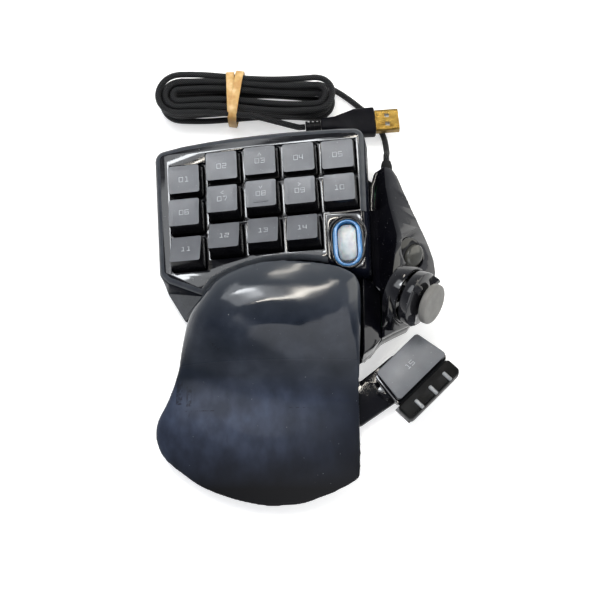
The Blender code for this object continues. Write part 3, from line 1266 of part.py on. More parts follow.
# Cord
def curve_between(points, step):
    """Points on a smooth curve through a route, straight over its first and last stretch."""
    ends = [Vector(point) for point in points]
    route = ends[1:-1]
    fine = []
    for i in range(1, len(ends) - 2):
        a, b, c, d = ends[i - 1:i + 3]
        for k in range(40):
            t = k / 40
            fine.append(0.5 * (2 * b + (c - a) * t + (2 * a - 5 * b + 4 * c - d) * t * t
                               + (3 * b - 3 * c + d - a) * t * t * t))
    fine.append(route[-1])
    total = sum((q - p).length for p, q in zip(fine, fine[1:]))
    count = max(int(total / step), 2)
    spaced = [fine[0]]
    walked = 0
    for p, q in zip(fine, fine[1:]):
        gone = (q - p).length
        while len(spaced) < count and walked + gone >= len(spaced) * total / count:
            t = (len(spaced) * total / count - walked) / gone
            spaced.append(p.lerp(q, t))
        walked += gone
    spaced.append(fine[-1])
    return [ends[0]] + spaced + [ends[-1]]


def tube(name, points, diameter, detail, surface):
    """Round cord along points, with filled ends."""
    curve = bpy.data.curves.new(name, "CURVE")
    curve.dimensions = "3D"
    curve.bevel_depth = diameter / 2
    curve.bevel_resolution = detail
    curve.use_fill_caps = True
    spline = curve.splines.new("POLY")
    spline.points.add(len(points) - 1)
    for slot, point in zip(spline.points, points):
        slot.co = (*point, 1)
    piece = bpy.data.objects.new(name, curve)
    bpy.context.collection.objects.link(piece)
    curve.materials.append(finishes[surface].copy())
    curve.materials[0].name = name + "_finish"
    return piece


def hank_point(turn):
    """Place on the wound hank after a number of loops, counted from the left end of the far run."""
    layer = min(max(int(turn / HANK_LOOPS_PER_LAYER), 0), HANK_LAYERS - 1)
    within = turn - layer * HANK_LOOPS_PER_LAYER
    wound = HANK_LOOPS_PER_LAYER - within if layer % 2 == 0 else within
    radius = HANK_INNER + wound * HANK_PITCH
    straight = HANK_LENGTH / 2 - hank_half()
    x, y = racetrack(turn % 1, straight, radius)
    left = (within - HANK_LOOPS_PER_LAYER) / RUN_SHARE + 1
    climb = min(max(left, 0), 1) if layer < HANK_LAYERS - 1 else 0
    z = HANK_LIFT + (layer + climb) * HANK_LAYER
    gather = math.exp(-((x + HANK_PLACE[0] - TIE_PLACE_X) / HANK_WAIST_REACH) ** 2)
    y *= 1 - (1 - HANK_WAIST_SHARE) * gather
    return Vector((HANK_PLACE[0] + x, HANK_PLACE[1] + y, z))


def hank_half():
    """Half width of the hank over its outermost strand."""
    return HANK_INNER + (HANK_LOOPS_PER_LAYER + END_SHARE) * HANK_PITCH + CORD_DIAMETER / 2


def racetrack(share, straight, radius):
    """Point of a loop: left bend, near run, right bend, far run, by its share of the points."""
    if share < BEND_SHARE:
        bend = share / BEND_SHARE * math.pi
        return -straight - radius * math.sin(bend), radius * math.cos(bend)
    share -= BEND_SHARE
    if share < RUN_SHARE:
        return straight * (2 * share / RUN_SHARE - 1), -radius
    share -= RUN_SHARE
    if share < BEND_SHARE:
        bend = share / BEND_SHARE * math.pi
        return straight + radius * math.sin(bend), -radius * math.cos(bend)
    share -= BEND_SHARE
    return straight * (1 - 2 * share / RUN_SHARE), radius


def hank_points():
    """Points of the whole hank: in along the far run, round, and out at half the near run."""
    per_loop = 2 * (HANK_RUN_POINTS + HANK_BEND_POINTS)
    last = HANK_LAYERS * HANK_LOOPS_PER_LAYER * per_loop + round(END_SHARE * per_loop)
    return [hank_point(i / per_loop) for i in range(-HANK_RUN_POINTS, last + 1)]


def least_gap(points, diameter):
    """Smallest clear distance between stretches that aren't next to each other."""
    least = 1.0
    skip = 5
    for i, p in enumerate(points):
        for j in range(i + skip, len(points) - 1):
            q, r = points[j], points[j + 1]
            edge = r - q
            t = min(max((p - q).dot(edge) / edge.length_squared, 0), 1)
            least = min(least, (p - q - edge * t).length)
    return least - diameter


def length_of(points):
    """Length along points."""
    return sum((q - p).length for p, q in zip(points, points[1:]))


def make_relief():
    """Rubber sleeve on the cord at the tip of the wing."""
    profile = ((0, 0), (RELIEF_RADIUS, 0), (RELIEF_RADIUS, RELIEF_LENGTH * 0.6),
               (RELIEF_RADIUS * 0.8, RELIEF_LENGTH), (0, RELIEF_LENGTH))
    turn = (-math.pi / 2, 0, 0)
    return add("strain_relief", turned(profile, 16), "black_rubber", None, CORD_EXIT, turn)


def make_tie():
    """Rubber band round the hank's waist."""
    half_y = (hank_half() - CORD_DIAMETER / 2) * HANK_WAIST_SHARE + CORD_DIAMETER / 2 + RUN
    low = HANK_LIFT - CORD_DIAMETER / 2 - GAP
    high = HANK_LIFT + (HANK_LAYERS - 1) * HANK_LAYER + CORD_DIAMETER / 2 + GAP
    inner = rounded_box(high - low, 2 * half_y, CORD_DIAMETER * 0.5, 3)
    outer = inset(inner, -TIE_THICK)
    rings = [level(outer, -TIE_WIDTH / 2), level(outer, TIE_WIDTH / 2)]
    place = (TIE_PLACE_X, HANK_PLACE[1], (low + high) / 2)
    turn = (0, math.pi / 2, 0)
    band = add("cord_tie", stacked(rings), "tan_rubber", None, place, turn)
    cut(band, stacked([level(inner, -OVERRUN), level(inner, OVERRUN)]), None, place, turn)
    return band


# Plug
plug_frame = frame("plug_mount", PLUG_PLACE, (0, 0, PLUG_YAW))


def plug_ring(x, width, height, corner):
    """Upright ring of the overmould at one place along the plug."""
    return [(x, y, z) for z, y in rounded_box(height, width, corner)]


def make_plug():
    """Overmould, ribbed relief, shell and tongue along the plug's own X axis."""
    front = -SHELL_LENGTH - GAP
    neck = front - BODY_LENGTH
    rings = [plug_ring(neck, BODY_NARROW, BODY_HEIGHT * 0.85, BODY_CORNER),
             plug_ring(neck + BODY_LENGTH * 0.25, BODY_NARROW + KEY_EDGE, BODY_HEIGHT, BODY_CORNER),
             plug_ring(neck + BODY_LENGTH * 0.62, BODY_WIDTH - KEY_EDGE, BODY_HEIGHT, BODY_CORNER),
             plug_ring(front - KEY_EDGE, BODY_WIDTH, BODY_HEIGHT, BODY_CORNER),
             plug_ring(front, BODY_WIDTH - 2 * KEY_EDGE, BODY_HEIGHT - 2 * KEY_EDGE, BODY_CORNER)]
    add("plug_body", stacked(rings), "dark_plastic", plug_frame)
    shell_outer = rounded_box(SHELL_WIDTH, SHELL_HEIGHT, SHELL_WALL * 2)
    turn = (math.pi / 2, 0, math.pi / 2)
    place = (front + GAP, 0, 0)
    shell = add("plug_shell", stacked([level(shell_outer, 0), level(shell_outer, SHELL_LENGTH)]), "gold",
                plug_frame, place, turn)
    inner = rounded_box(SHELL_WIDTH - 2 * SHELL_WALL, SHELL_HEIGHT - 2 * SHELL_WALL, SHELL_WALL)
    cut(shell, stacked([level(inner, SHELL_WALL), level(inner, SHELL_LENGTH + RUN)]), plug_frame, place, turn)
    hole = SHELL_HEIGHT * 0.5
    for side in (-1, 1):
        window = box((hole, hole, SHELL_HEIGHT), (SHELL_LENGTH * 0.5 - SHELL_LENGTH, side * SHELL_WIDTH * 0.2, SHELL_HEIGHT / 2))
        cut(shell, window, plug_frame)
    length = SHELL_LENGTH - SHELL_WALL - GAP - KEY_EDGE
    floor = -SHELL_HEIGHT / 2 + SHELL_WALL + GAP
    centre = (-KEY_EDGE - length / 2, 0, floor + TONGUE_THICK / 2)
    add("plug_tongue", box((length, TONGUE_WIDTH, TONGUE_THICK), centre), "smoke_white", plug_frame)
    profile = [(0, 0)]
    step = PLUG_RELIEF_LENGTH / (2 * PLUG_RELIEF_RIBS)
    for i in range(PLUG_RELIEF_RIBS):
        high = 2 * i * step
        profile += [(PLUG_RELIEF_RADIUS, high), (PLUG_RELIEF_RADIUS, high + step)]
        if i < PLUG_RELIEF_RIBS - 1:
            groove = PLUG_RELIEF_RADIUS - PLUG_RELIEF_GROOVE
            profile += [(groove, high + step), (groove, high + 2 * step)]
    profile.append((0, profile[-1][1]))
    add("plug_relief", turned(profile, 16), "black_rubber", plug_frame, (neck - GAP, 0, 0), (0, -math.pi / 2, 0))
    return neck - GAP - profile[-1][1] - GAP


def make_cord():
    """The lead, the hank and the tail, and what they measure."""
    wound = hank_points()
    first, second = wound[0], wound[1]
    last, before = wound[-1], wound[-2]
    start = Vector(CORD_EXIT) + Vector((0, RELIEF_LENGTH + GAP, 0))
    into = (second - first).normalized()
    join_at = first - into * GAP
    run_in = join_at - into * CORD_DIAMETER
    lead = curve_between(lead_route(start, run_in, join_at, into), LEAD_STEP)
    out = (last - before).normalized()
    leave = last + out * GAP
    plug_back = plug_frame.matrix_world @ Vector((plug_end, 0, 0))
    plug_way = plug_frame.matrix_world.to_3x3() @ Vector((1, 0, 0))
    tail = curve_between(tail_route(leave, out, plug_back, plug_way), LEAD_STEP)
    tube("cord_lead", lead, CORD_DIAMETER, 2, "cord_braid")
    tube("cord_hank", wound, CORD_DIAMETER, 1, "cord_braid")
    tube("cord_tail", tail, CORD_DIAMETER, 2, "cord_braid")
    total = length_of(lead) + length_of(wound) + length_of(tail)
    print("least gap of the hank to itself, mm:", round(least_gap(wound, CORD_DIAMETER) / MM, 2))
    print("cord length, mm:", round(total / MM), "hank", round(length_of(wound) / MM), "points", len(lead), len(tail))


# Route points of the lead and the tail, chosen by hand
LEAD_ROUTE = ((42.6 * MM, 96.0 * MM, 3.6 * MM), (41.0 * MM, 106.0 * MM, 1.9 * MM),
              (35.5 * MM, 115.5 * MM, 1.9 * MM), (26.5 * MM, 124.0 * MM, 2.4 * MM),
              (17.0 * MM, 131.0 * MM, 3.0 * MM))


def lead_route(start, run_in, join_at, into):
    """Lead from the strain relief, under the plug, into the hank."""
    straight = start + Vector((0, CORD_DIAMETER, 0))
    return [start, straight, *LEAD_ROUTE, run_in, join_at]


def tail_route(leave, out, plug_back, plug_way):
    """Tail from the hank to the back of the plug."""
    return [leave, leave + out * CORD_DIAMETER, plug_back - plug_way * CORD_DIAMETER, plug_back]


# Everything is made here, in the order it goes together
bpy.context.view_layer.update()
make_base_plate()
for index, (x_share, y_share) in enumerate(FOOT_PLACE_SHARES, 1):
    make_foot(index, x_share * BASE_WIDTH, y_share * BASE_LENGTH)
for index, (x, y) in enumerate(screw_places(), 1):
    make_screw(index, x, y)
make_case()
make_board()
make_dome_sheet()
make_bezel()
for key in key_places():
    make_key(*key)
make_surround()
make_light_ring()
make_carrier()
make_axle()
make_wheel()
make_rail()
make_palm_tray()
make_palm_rest()
make_palm_foot()
make_thumb_base()
make_thumb_board()
make_side_cover()
make_wing()
make_housing()
make_yoke()
make_pad()
make_stick()
make_cap()
make_lens()
make_mode_button()
make_arm()
make_k15_frame()
make_key_15()
make_grip()
make_relief()
plug_end = make_plug()
make_cord()
make_tie()
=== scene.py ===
import json
import math

import bmesh
import bpy
from mathutils import Euler, Matrix, Vector

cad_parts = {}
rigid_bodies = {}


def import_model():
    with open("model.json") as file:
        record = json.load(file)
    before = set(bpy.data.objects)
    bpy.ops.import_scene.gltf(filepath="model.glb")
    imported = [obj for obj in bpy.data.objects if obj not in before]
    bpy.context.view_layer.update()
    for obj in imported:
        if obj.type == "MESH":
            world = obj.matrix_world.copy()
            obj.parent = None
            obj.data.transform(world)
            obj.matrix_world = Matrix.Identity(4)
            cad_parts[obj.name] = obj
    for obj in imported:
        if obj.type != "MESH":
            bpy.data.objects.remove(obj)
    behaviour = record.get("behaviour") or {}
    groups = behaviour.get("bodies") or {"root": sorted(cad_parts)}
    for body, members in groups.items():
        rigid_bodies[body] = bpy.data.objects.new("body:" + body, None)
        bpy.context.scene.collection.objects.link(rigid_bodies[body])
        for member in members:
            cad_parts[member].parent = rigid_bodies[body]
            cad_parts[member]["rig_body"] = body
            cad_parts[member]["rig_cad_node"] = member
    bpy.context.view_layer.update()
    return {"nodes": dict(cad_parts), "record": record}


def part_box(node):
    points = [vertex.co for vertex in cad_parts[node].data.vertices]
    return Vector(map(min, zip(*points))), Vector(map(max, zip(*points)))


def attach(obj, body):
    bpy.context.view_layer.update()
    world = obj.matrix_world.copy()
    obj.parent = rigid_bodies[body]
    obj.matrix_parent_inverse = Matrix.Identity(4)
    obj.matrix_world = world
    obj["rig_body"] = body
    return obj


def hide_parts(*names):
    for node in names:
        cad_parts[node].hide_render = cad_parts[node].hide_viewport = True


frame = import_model()
nodes = frame["nodes"]
record = frame["record"]
MM = 0.001

# Desk and studio
# A pale desk under wide soft lamps overhead, in front and at the side. A window behind shows in
# the gloss between the keys, and two tubes show as streaks on the palm rest. The room is dim.
DESK_WHITE = (0.80, 0.80, 0.80)
DESK_ROUGHNESS = 0.9
DESK_GLOW = 0.50
DESK_SIZE = 8.0
DESK_DROP = 0.0003
# Sky colours by share of the height
SKY = ((0.0, (0.95, 0.97, 1.0)), (0.25, (0.55, 0.57, 0.60)), (0.60, (0.17, 0.18, 0.20)),
       (1.0, (0.13, 0.14, 0.16)))
DAYLIGHT = (0.94, 0.97, 1.0)
TUBE_LIGHT = (1.0, 0.94, 0.84)
# Lamps: name, place, aim, width, length, watts, tint, spin in degrees
LAMPS = (
    ("overhead_lamp", (-0.34, 0.32, 0.92), (-0.02, 0.04, 0.02), 0.56, 0.56, 3.4, DAYLIGHT, 0.0),
    ("window_lamp", (-0.235, 0.320, 0.90), (-0.01, 0.05, 0.03), 0.215, 0.13, 1.8, DAYLIGHT, 0.0),
    ("front_lamp", (0.45, -0.95, 1.05), (0, 0, 0.02), 1.70, 1.30, 11.0, (0.97, 0.98, 1.0), 0.0),
    ("side_lamp", (0.78, 0.38, 0.58), (0.05, 0.02, 0.03), 0.80, 0.80, 4.2, (1.0, 0.98, 0.88), 0.0),
    ("near_tube", (0.003, 0.34, 0.90), (0.0, 0.30, 0.03), 0.02, 0.80, 2.8, TUBE_LIGHT, -18.0),
    ("far_tube", (-0.01, 1.28, 0.90), (-0.01, 0.90, 0.03), 0.04, 0.44, 1.3, TUBE_LIGHT, -15.0))
CAMERA_PLACE = (-0.0027, -0.16595, 0.55759)
CAMERA_LEAN = math.radians(18)
CAMERA_LENS = 69.66
CAMERA_SENSOR = 36.0
CAMERA_NEAREST = 0.01


def finish(name, colour, roughness, metallic=0.0, **sockets):
    """A new material, with the sockets of its shader set by name."""
    material = bpy.data.materials.new(name)
    material.use_nodes = True
    shader = material.node_tree.nodes["Principled BSDF"]
    shader.inputs["Base Color"].default_value = (*colour, 1)
    shader.inputs["Roughness"].default_value = roughness
    shader.inputs["Metallic"].default_value = metallic
    for socket, value in sockets.items():
        shader.inputs[socket.replace("_", " ")].default_value = value
    return material


def make(tree, kind, **settings):
    """A node of a material, with its settings."""
    node = tree.nodes.new("ShaderNode" + kind)
    for setting, value in settings.items():
        setattr(node, setting, value)
    return node


def graded(tree, value, *stops):
    """Colours at shares of a value."""
    ramp = make(tree, "ValToRGB")
    steps = ramp.color_ramp.elements
    while len(steps) < len(stops):
        steps.new(0.5)
    for step, (share, colour) in zip(steps, stops):
        step.position = share
        step.color = (*colour, 1)
    tree.links.new(value, ramp.inputs[0])
    return ramp.outputs[0]


def reckoned(tree, operation, first, second=None):
    """Result of a sum of one or two values; a value is a socket or a number."""
    node = make(tree, "Math", operation=operation)
    for socket, value in zip(node.inputs, (first, second)):
        if isinstance(value, (int, float)):
            socket.default_value = value
        elif value:
            tree.links.new(value, socket)
    return node.outputs[0]


def desk_white(name, lift):
    """Pale matte board that the camera and reflections see as white."""
    material = finish(name, DESK_WHITE, DESK_ROUGHNESS)
    tree = material.node_tree
    light = make(tree, "LightPath")
    seen = light.outputs["Is Camera Ray"]
    for ray in ("Is Glossy Ray", "Is Transmission Ray"):
        seen = reckoned(tree, "MAXIMUM", seen, light.outputs[ray])
    glow = make(tree, "Emission")
    tree.links.new(reckoned(tree, "MULTIPLY", seen, lift), glow.inputs["Strength"])
    both = make(tree, "AddShader")
    tree.links.new(tree.nodes["Principled BSDF"].outputs[0], both.inputs[0])
    tree.links.new(glow.outputs[0], both.inputs[1])
    tree.links.new(both.outputs[0], tree.nodes["Material Output"].inputs["Surface"])
    return material


bpy.ops.object.select_all(action="DESELECT")
bpy.ops.mesh.primitive_plane_add(size=DESK_SIZE, location=(0, 0, -DESK_DROP))
desk = bpy.context.active_object
desk.name = "desk_top"
desk.data.materials.append(desk_white("desk_board", DESK_GLOW))

world = bpy.data.worlds.new("studio")
world.use_nodes = True
bpy.context.scene.world = world
sky = world.node_tree
sky_place = make(sky, "TexCoord")
sky_apart = make(sky, "SeparateXYZ")
sky.links.new(sky_place.outputs["Generated"], sky_apart.inputs[0])
sky.links.new(graded(sky, sky_apart.outputs["Z"], *SKY), sky.nodes["Background"].inputs["Color"])

for name, place, aim, width, length, power, tint, spin in LAMPS:
    bpy.ops.object.light_add(type="AREA", location=place)
    light = bpy.context.active_object
    light.name = name
    light.data.shape = "RECTANGLE"
    light.data.size = width
    light.data.size_y = length
    light.data.energy = power
    light.data.color = tint
    facing = (Vector(aim) - Vector(place)).to_track_quat("-Z", "Y").to_matrix()
    light.rotation_euler = (facing @ Matrix.Rotation(math.radians(spin), 3, "Z")).to_euler()

bpy.ops.object.camera_add(location=CAMERA_PLACE, rotation=(CAMERA_LEAN, 0, 0))
camera = bpy.context.active_object
camera.name = "photo_camera"
camera.data.lens = CAMERA_LENS
camera.data.sensor_width = CAMERA_SENSOR
camera.data.clip_start = CAMERA_NEAREST
bpy.context.scene.camera = camera
bpy.context.scene.view_settings.view_transform = "Standard"

# Cord
# Thin black lead in a woven nylon sleeve, folded into a hank behind the keypad. It leaves the
# thumb module's tip, passes under the plug, winds eight times and ends in the plug.
CORD_DIAMETER = 3.1 * MM
CORD_EXIT = Vector((42.0, 87.8, 7.8)) * MM
CORD_GAP = 0.3 * MM
# Points in mm on the free lead, from the thumb module to the hank
LEAD_ROUTE = ((42.6, 96.0, 3.6), (41.0, 106.0, 1.9), (35.5, 115.5, 1.9), (26.5, 124.0, 2.4),
              (17.0, 131.0, 3.0))
# Hank: its middle, its loops and layers, then the waves along its runs and its waist
HANK_PLACE = (-30.3 * MM, 123.4 * MM)
HANK_LENGTH = 98.0 * MM
HANK_PITCH = 3.86 * MM
HANK_INNER = 2.8 * MM
HANK_LIFT = 3.4 * MM
HANK_LAYER = 3.75 * MM
HANK_LAYERS = 4
HANK_LOOPS = 2
RUN_POINTS = 4
BEND_POINTS = 8
RUN_STEPS = 8
HANK_WAVE = 1.2 * MM
HANK_WAVE_LENGTH = 13.0 * MM
HANK_WAVE_TURN = 0.45
WAIST_SHARE = 0.94
WAIST_REACH = 20.0 * MM
TIE_X = -36.9 * MM
PLUG_YAW = math.radians(4.5)
PLUG_WAY = Vector((math.cos(PLUG_YAW), math.sin(PLUG_YAW), 0))
PLUG_TIP = Vector((48.8, 111.4, 8.4)) * MM
PLUG_LENGTH = 48.97 * MM
PLUG_BACK = PLUG_TIP - PLUG_WAY * PLUG_LENGTH
CORD_SIDES = 18
CORD_STEP = 1.3 * MM
CURVE_STEPS = 30
SLEEVE_CELLS = 8
SLEEVE_CELL = 1.25 * MM
SLEEVE_RELIEF = 0.35 * MM
# Sleeve colours by height of the weave: painted shade in the hollows between strands, painted highlight on
# the strand tops
SLEEVE_SHADING = ((0.20, (0.001, 0.001, 0.001)), (0.90, (0.024, 0.025, 0.029)))

per_loop = 2 * (RUN_POINTS + BEND_POINTS)
run_share = RUN_POINTS / per_loop
bend_share = BEND_POINTS / per_loop
end_share = bend_share + run_share / 2
hank_half = HANK_INNER + (HANK_LOOPS + end_share) * HANK_PITCH + CORD_DIAMETER / 2


def loop_place(share, straight, radius):
    """Point of one loop of the hank by its share of the points."""
    if share < bend_share:
        bend = share / bend_share * math.pi
        return -straight - radius * math.sin(bend), radius * math.cos(bend)
    share -= bend_share
    if share < run_share:
        return straight * (2 * share / run_share - 1), -radius
    share -= run_share
    if share < bend_share:
        bend = share / bend_share * math.pi
        return straight + radius * math.sin(bend), -radius * math.cos(bend)
    share -= bend_share
    return straight * (1 - 2 * share / run_share), radius


def hank_place(turn):
    """Place on the hank after a number of loops."""
    layer = min(max(int(turn / HANK_LOOPS), 0), HANK_LAYERS - 1)
    within = turn - layer * HANK_LOOPS
    wound = HANK_LOOPS - within if layer % 2 == 0 else within
    straight = HANK_LENGTH / 2 - hank_half
    x, y = loop_place(turn % 1, straight, HANK_INNER + wound * HANK_PITCH)
    left = (within - HANK_LOOPS) / run_share + 1
    climb = min(max(left, 0), 1) if layer < HANK_LAYERS - 1 else 0
    gather = math.exp(-((x + HANK_PLACE[0] - TIE_X) / WAIST_REACH) ** 2)
    y *= 1 - (1 - WAIST_SHARE) * gather
    y += HANK_WAVE * math.sin(x / HANK_WAVE_LENGTH + HANK_WAVE_TURN * turn)
    return Vector((HANK_PLACE[0] + x, HANK_PLACE[1] + y, HANK_LIFT + (layer + climb) * HANK_LAYER))


last_point = HANK_LAYERS * HANK_LOOPS * per_loop + round(end_share * per_loop)
hank = []
for i in range(-RUN_POINTS, last_point):
    steps = 1 if i % (per_loop // 2) < BEND_POINTS else RUN_STEPS
    hank += [hank_place((i + k / steps) / per_loop) for k in range(steps)]
hank.append(hank_place(last_point / per_loop))
hank_in = (hank[1] - hank[0]).normalized()
hank_out = (hank[-1] - hank[-2]).normalized()
lead_start = CORD_EXIT + Vector((0, CORD_GAP, 0))
route = [lead_start, lead_start + Vector((0, CORD_DIAMETER, 0))]
route += [Vector(point) * MM for point in LEAD_ROUTE]
route += [hank[0] - hank_in * (CORD_GAP + CORD_DIAMETER)]
route += hank
route += [hank[-1] + hank_out * (CORD_GAP + CORD_DIAMETER), PLUG_BACK - PLUG_WAY * CORD_DIAMETER, PLUG_BACK]


def eased_route(points, step):
    """Points an even step apart on a smooth curve through a route, straight at both ends."""
    fine = []
    for i in range(1, len(points) - 2):
        a, b, c, d = points[i - 1:i + 3]
        for k in range(CURVE_STEPS):
            t = k / CURVE_STEPS
            fine.append(0.5 * (2 * b + (c - a) * t + (2 * a - 5 * b + 4 * c - d) * t * t
                               + (3 * b - 3 * c + d - a) * t * t * t))
    fine.append(points[-2])
    even = [points[0], fine[0]]
    walked = 0.0
    for p, q in zip(fine, fine[1:]):
        walked += (q - p).length
        if walked >= step:
            even.append(q)
            walked = 0.0
    while (even[-1] - points[-2]).length < step / 2:
        even.pop()
    return even + [points[-2], points[-1]]


def drawn_tube(name, points, diameter, sides):
    """Round tube along points, with its length and girth in its UV map and closed ends."""
    bm = bmesh.new()
    uv = bm.loops.layers.uv.new("UVMap")
    rings = []
    side = Vector((0, 0, 1))
    for i, point in enumerate(points):
        way = (points[min(i + 1, len(points) - 1)] - points[max(i - 1, 0)]).normalized()
        side = (side - way * side.dot(way)).normalized()
        across = way.cross(side)
        turns = [2 * math.pi * k / sides for k in range(sides)]
        ways = [side * math.cos(turn) + across * math.sin(turn) for turn in turns]
        rings.append([bm.verts.new(point + out * diameter / 2) for out in ways])
    for i, (ring, onward) in enumerate(zip(rings, rings[1:])):
        for k in range(sides):
            face = bm.faces.new((ring[k], ring[(k + 1) % sides], onward[(k + 1) % sides], onward[k]))
            for loop, (u, v) in zip(face.loops, ((i, k), (i, k + 1), (i + 1, k + 1), (i + 1, k))):
                loop[uv].uv = (u / (len(points) - 1), v / sides)
    bm.faces.new(rings[0][::-1])
    bm.faces.new(rings[-1])
    bmesh.ops.recalc_face_normals(bm, faces=bm.faces)
    mesh = bpy.data.meshes.new(name)
    bm.to_mesh(mesh)
    bm.free()
    mesh.shade_smooth()
    tube = bpy.data.objects.new(name, mesh)
    bpy.context.collection.objects.link(tube)
    return tube


def spread(tree, value, low, high, start=0.0, stop=1.0):
    """A value's range moved to another."""
    move = make(tree, "MapRange")
    move.inputs["From Min"].default_value = start
    move.inputs["From Max"].default_value = stop
    move.inputs["To Min"].default_value = low
    move.inputs["To Max"].default_value = high
    tree.links.new(value, move.inputs["Value"])
    return move.outputs[0]


def raised(tree, height, strength, depth):
    """Fine relief of a surface from a height."""
    shader = tree.nodes["Principled BSDF"]
    bump = make(tree, "Bump")
    bump.inputs["Strength"].default_value = strength
    bump.inputs["Distance"].default_value = depth
    tree.links.new(height, bump.inputs["Height"])
    tree.links.new(bump.outputs[0], shader.inputs["Normal"])


def woven(name, length, girth_cells, cell):
    """Black nylon sleeve: two families of strands that cross in a fine diamond weave."""
    material = finish(name, (0.012, 0.012, 0.014), 0.5, Specular_IOR_Level=0.35)
    tree = material.node_tree
    shader = tree.nodes["Principled BSDF"]
    uv = make(tree, "UVMap")
    apart = make(tree, "SeparateXYZ")
    tree.links.new(uv.outputs[0], apart.inputs[0])
    along = reckoned(tree, "MULTIPLY", apart.outputs["X"], length / cell * math.pi)
    around = reckoned(tree, "MULTIPLY", apart.outputs["Y"], girth_cells * math.pi)
    rising = reckoned(tree, "SINE", reckoned(tree, "ADD", along, around))
    falling = reckoned(tree, "SINE", reckoned(tree, "SUBTRACT", along, around))
    height = reckoned(tree, "ABSOLUTE", reckoned(tree, "MULTIPLY", rising, falling))
    # Painted shade in the weave's hollows and painted highlight on its strand tops
    tree.links.new(graded(tree, height, *SLEEVE_SHADING), shader.inputs["Base Color"])
    tree.links.new(spread(tree, height, 0.80, 0.32), shader.inputs["Roughness"])
    raised(tree, height, 1.0, SLEEVE_RELIEF)
    return material


line = eased_route(route, CORD_STEP)
cord_length = sum((b - a).length for a, b in zip(line, line[1:]))
cord = drawn_tube("braided_cord", line, CORD_DIAMETER, CORD_SIDES)
cord.data.materials.append(woven("cord_sleeve", cord_length, SLEEVE_CELLS, SLEEVE_CELL))
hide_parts("cord_lead", "cord_hank", "cord_tail")
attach(cord, "base")

# Rubber band
# Tan office band, doubled round the hank's waist, so that two wraps cross on it. It is a
# flat strip of natural rubber with worn, paler patches.
BAND_WIDTH = 4.3 * MM
BAND_THICK = 0.9 * MM
BAND_SIDE_REACH = 0.93
BAND_TOP_REACH = 0.84
BAND_STEPS = 16
BAND_EDGE_STEPS = 3
BAND_TONES = ((0.30, (0.46, 0.24, 0.06)), (0.55, (0.60, 0.37, 0.13)), (0.75, (0.76, 0.55, 0.28)))
# Wraps of the band: name, turn in degrees, shift along the hank, share of the room
BAND_WRAPS = (("rubber_band_1", 3.0, -1.9 * MM, 0.99), ("rubber_band_2", -8.0, 0.9 * MM, 1.04))


def patchy(tree, scale, detail=3.0, stretch=(1, 1, 1)):
    """Noise at a scale per metre, on the piece's own coordinates."""
    place = make(tree, "TexCoord")
    mapping = make(tree, "Mapping")
    mapping.inputs["Scale"].default_value = stretch
    tree.links.new(place.outputs["Object"], mapping.inputs["Vector"])
    noise = make(tree, "TexNoise")
    noise.inputs["Scale"].default_value = scale
    noise.inputs["Detail"].default_value = detail
    tree.links.new(mapping.outputs[0], noise.inputs["Vector"])
    return noise.outputs["Fac"]


def blended(tree, share, under, over):
    """One colour over another by a share; a colour is a socket or three numbers."""
    mix = make(tree, "Mix", data_type="RGBA")
    tree.links.new(share, mix.inputs[0])
    for socket, colour in ((mix.inputs[6], under), (mix.inputs[7], over)):
        if isinstance(colour, tuple):
            socket.default_value = (*colour, 1)
        else:
            tree.links.new(colour, socket)
    return mix.outputs[2]


def band_rubber():
    """Tan rubber with cloudy tone and a fine drag along the strip."""
    material = finish("band_rubber", (0.60, 0.36, 0.10), 0.5, Subsurface_Weight=0.15,
                      Subsurface_Scale=0.002)
    tree = material.node_tree
    shader = tree.nodes["Principled BSDF"]
    tree.links.new(graded(tree, patchy(tree, 260, 4), *BAND_TONES), shader.inputs["Base Color"])
    drag = patchy(tree, 900, 3, (4, 1, 1))
    tree.links.new(spread(tree, drag, 0.38, 0.62), shader.inputs["Roughness"])
    raised(tree, drag, 0.25, 0.1 * MM)
    return material


band_low, band_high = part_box("cord_tie")
band_mid = (band_low + band_high) / 2
band_half_y = (band_high.y - band_low.y) / 2 - BAND_THICK
band_half_z = (band_high.z - band_low.z) / 2 - BAND_THICK


def band_loop(name, turn, shift, squeeze):
    """One wrap of the band, a flat strip bent round the hank."""
    bpy.ops.object.select_all(action="DESELECT")
    bpy.ops.curve.primitive_bezier_circle_add(radius=1.0)
    loop = bpy.context.active_object
    loop.name = name
    half_y = band_half_y * squeeze
    half_z = band_half_z * squeeze
    corners = ((-half_y, 0), (0, half_z), (half_y, 0), (0, -half_z))
    for point, (y, z) in zip(loop.data.splines[0].bezier_points, corners):
        point.handle_left_type = point.handle_right_type = "FREE"
        point.co = (z, y, 0)
        side = (1 if y < 0 else -1) if y else (1 if z > 0 else -1)
        if y:
            reach = Vector((side * half_z * BAND_SIDE_REACH, 0, 0))
        else:
            reach = Vector((0, side * half_y * BAND_TOP_REACH, 0))
        point.handle_left = point.co - reach
        point.handle_right = point.co + reach
    loop.data.dimensions = "2D"
    loop.data.fill_mode = "NONE"
    loop.data.resolution_u = BAND_STEPS
    loop.data.extrude = BAND_WIDTH / 2 - BAND_THICK / 2
    loop.data.bevel_depth = BAND_THICK / 2
    loop.data.bevel_resolution = BAND_EDGE_STEPS
    loop.matrix_world = (Matrix.Translation(band_mid + Vector((shift, 0, 0)))
                         @ Matrix.Rotation(math.radians(turn), 4, "Z")
                         @ Matrix.Rotation(math.radians(-90), 4, "Y"))
    bpy.ops.object.convert(target="MESH")
    bpy.ops.object.transform_apply(location=True, rotation=True, scale=True)
    bpy.ops.object.shade_smooth()
    return bpy.context.active_object


band_finish = band_rubber()
bands = [band_loop(*wrap) for wrap in BAND_WRAPS]
for piece in bands:
    piece.data.materials.append(band_finish)
    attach(piece, "base")
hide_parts("cord_tie")

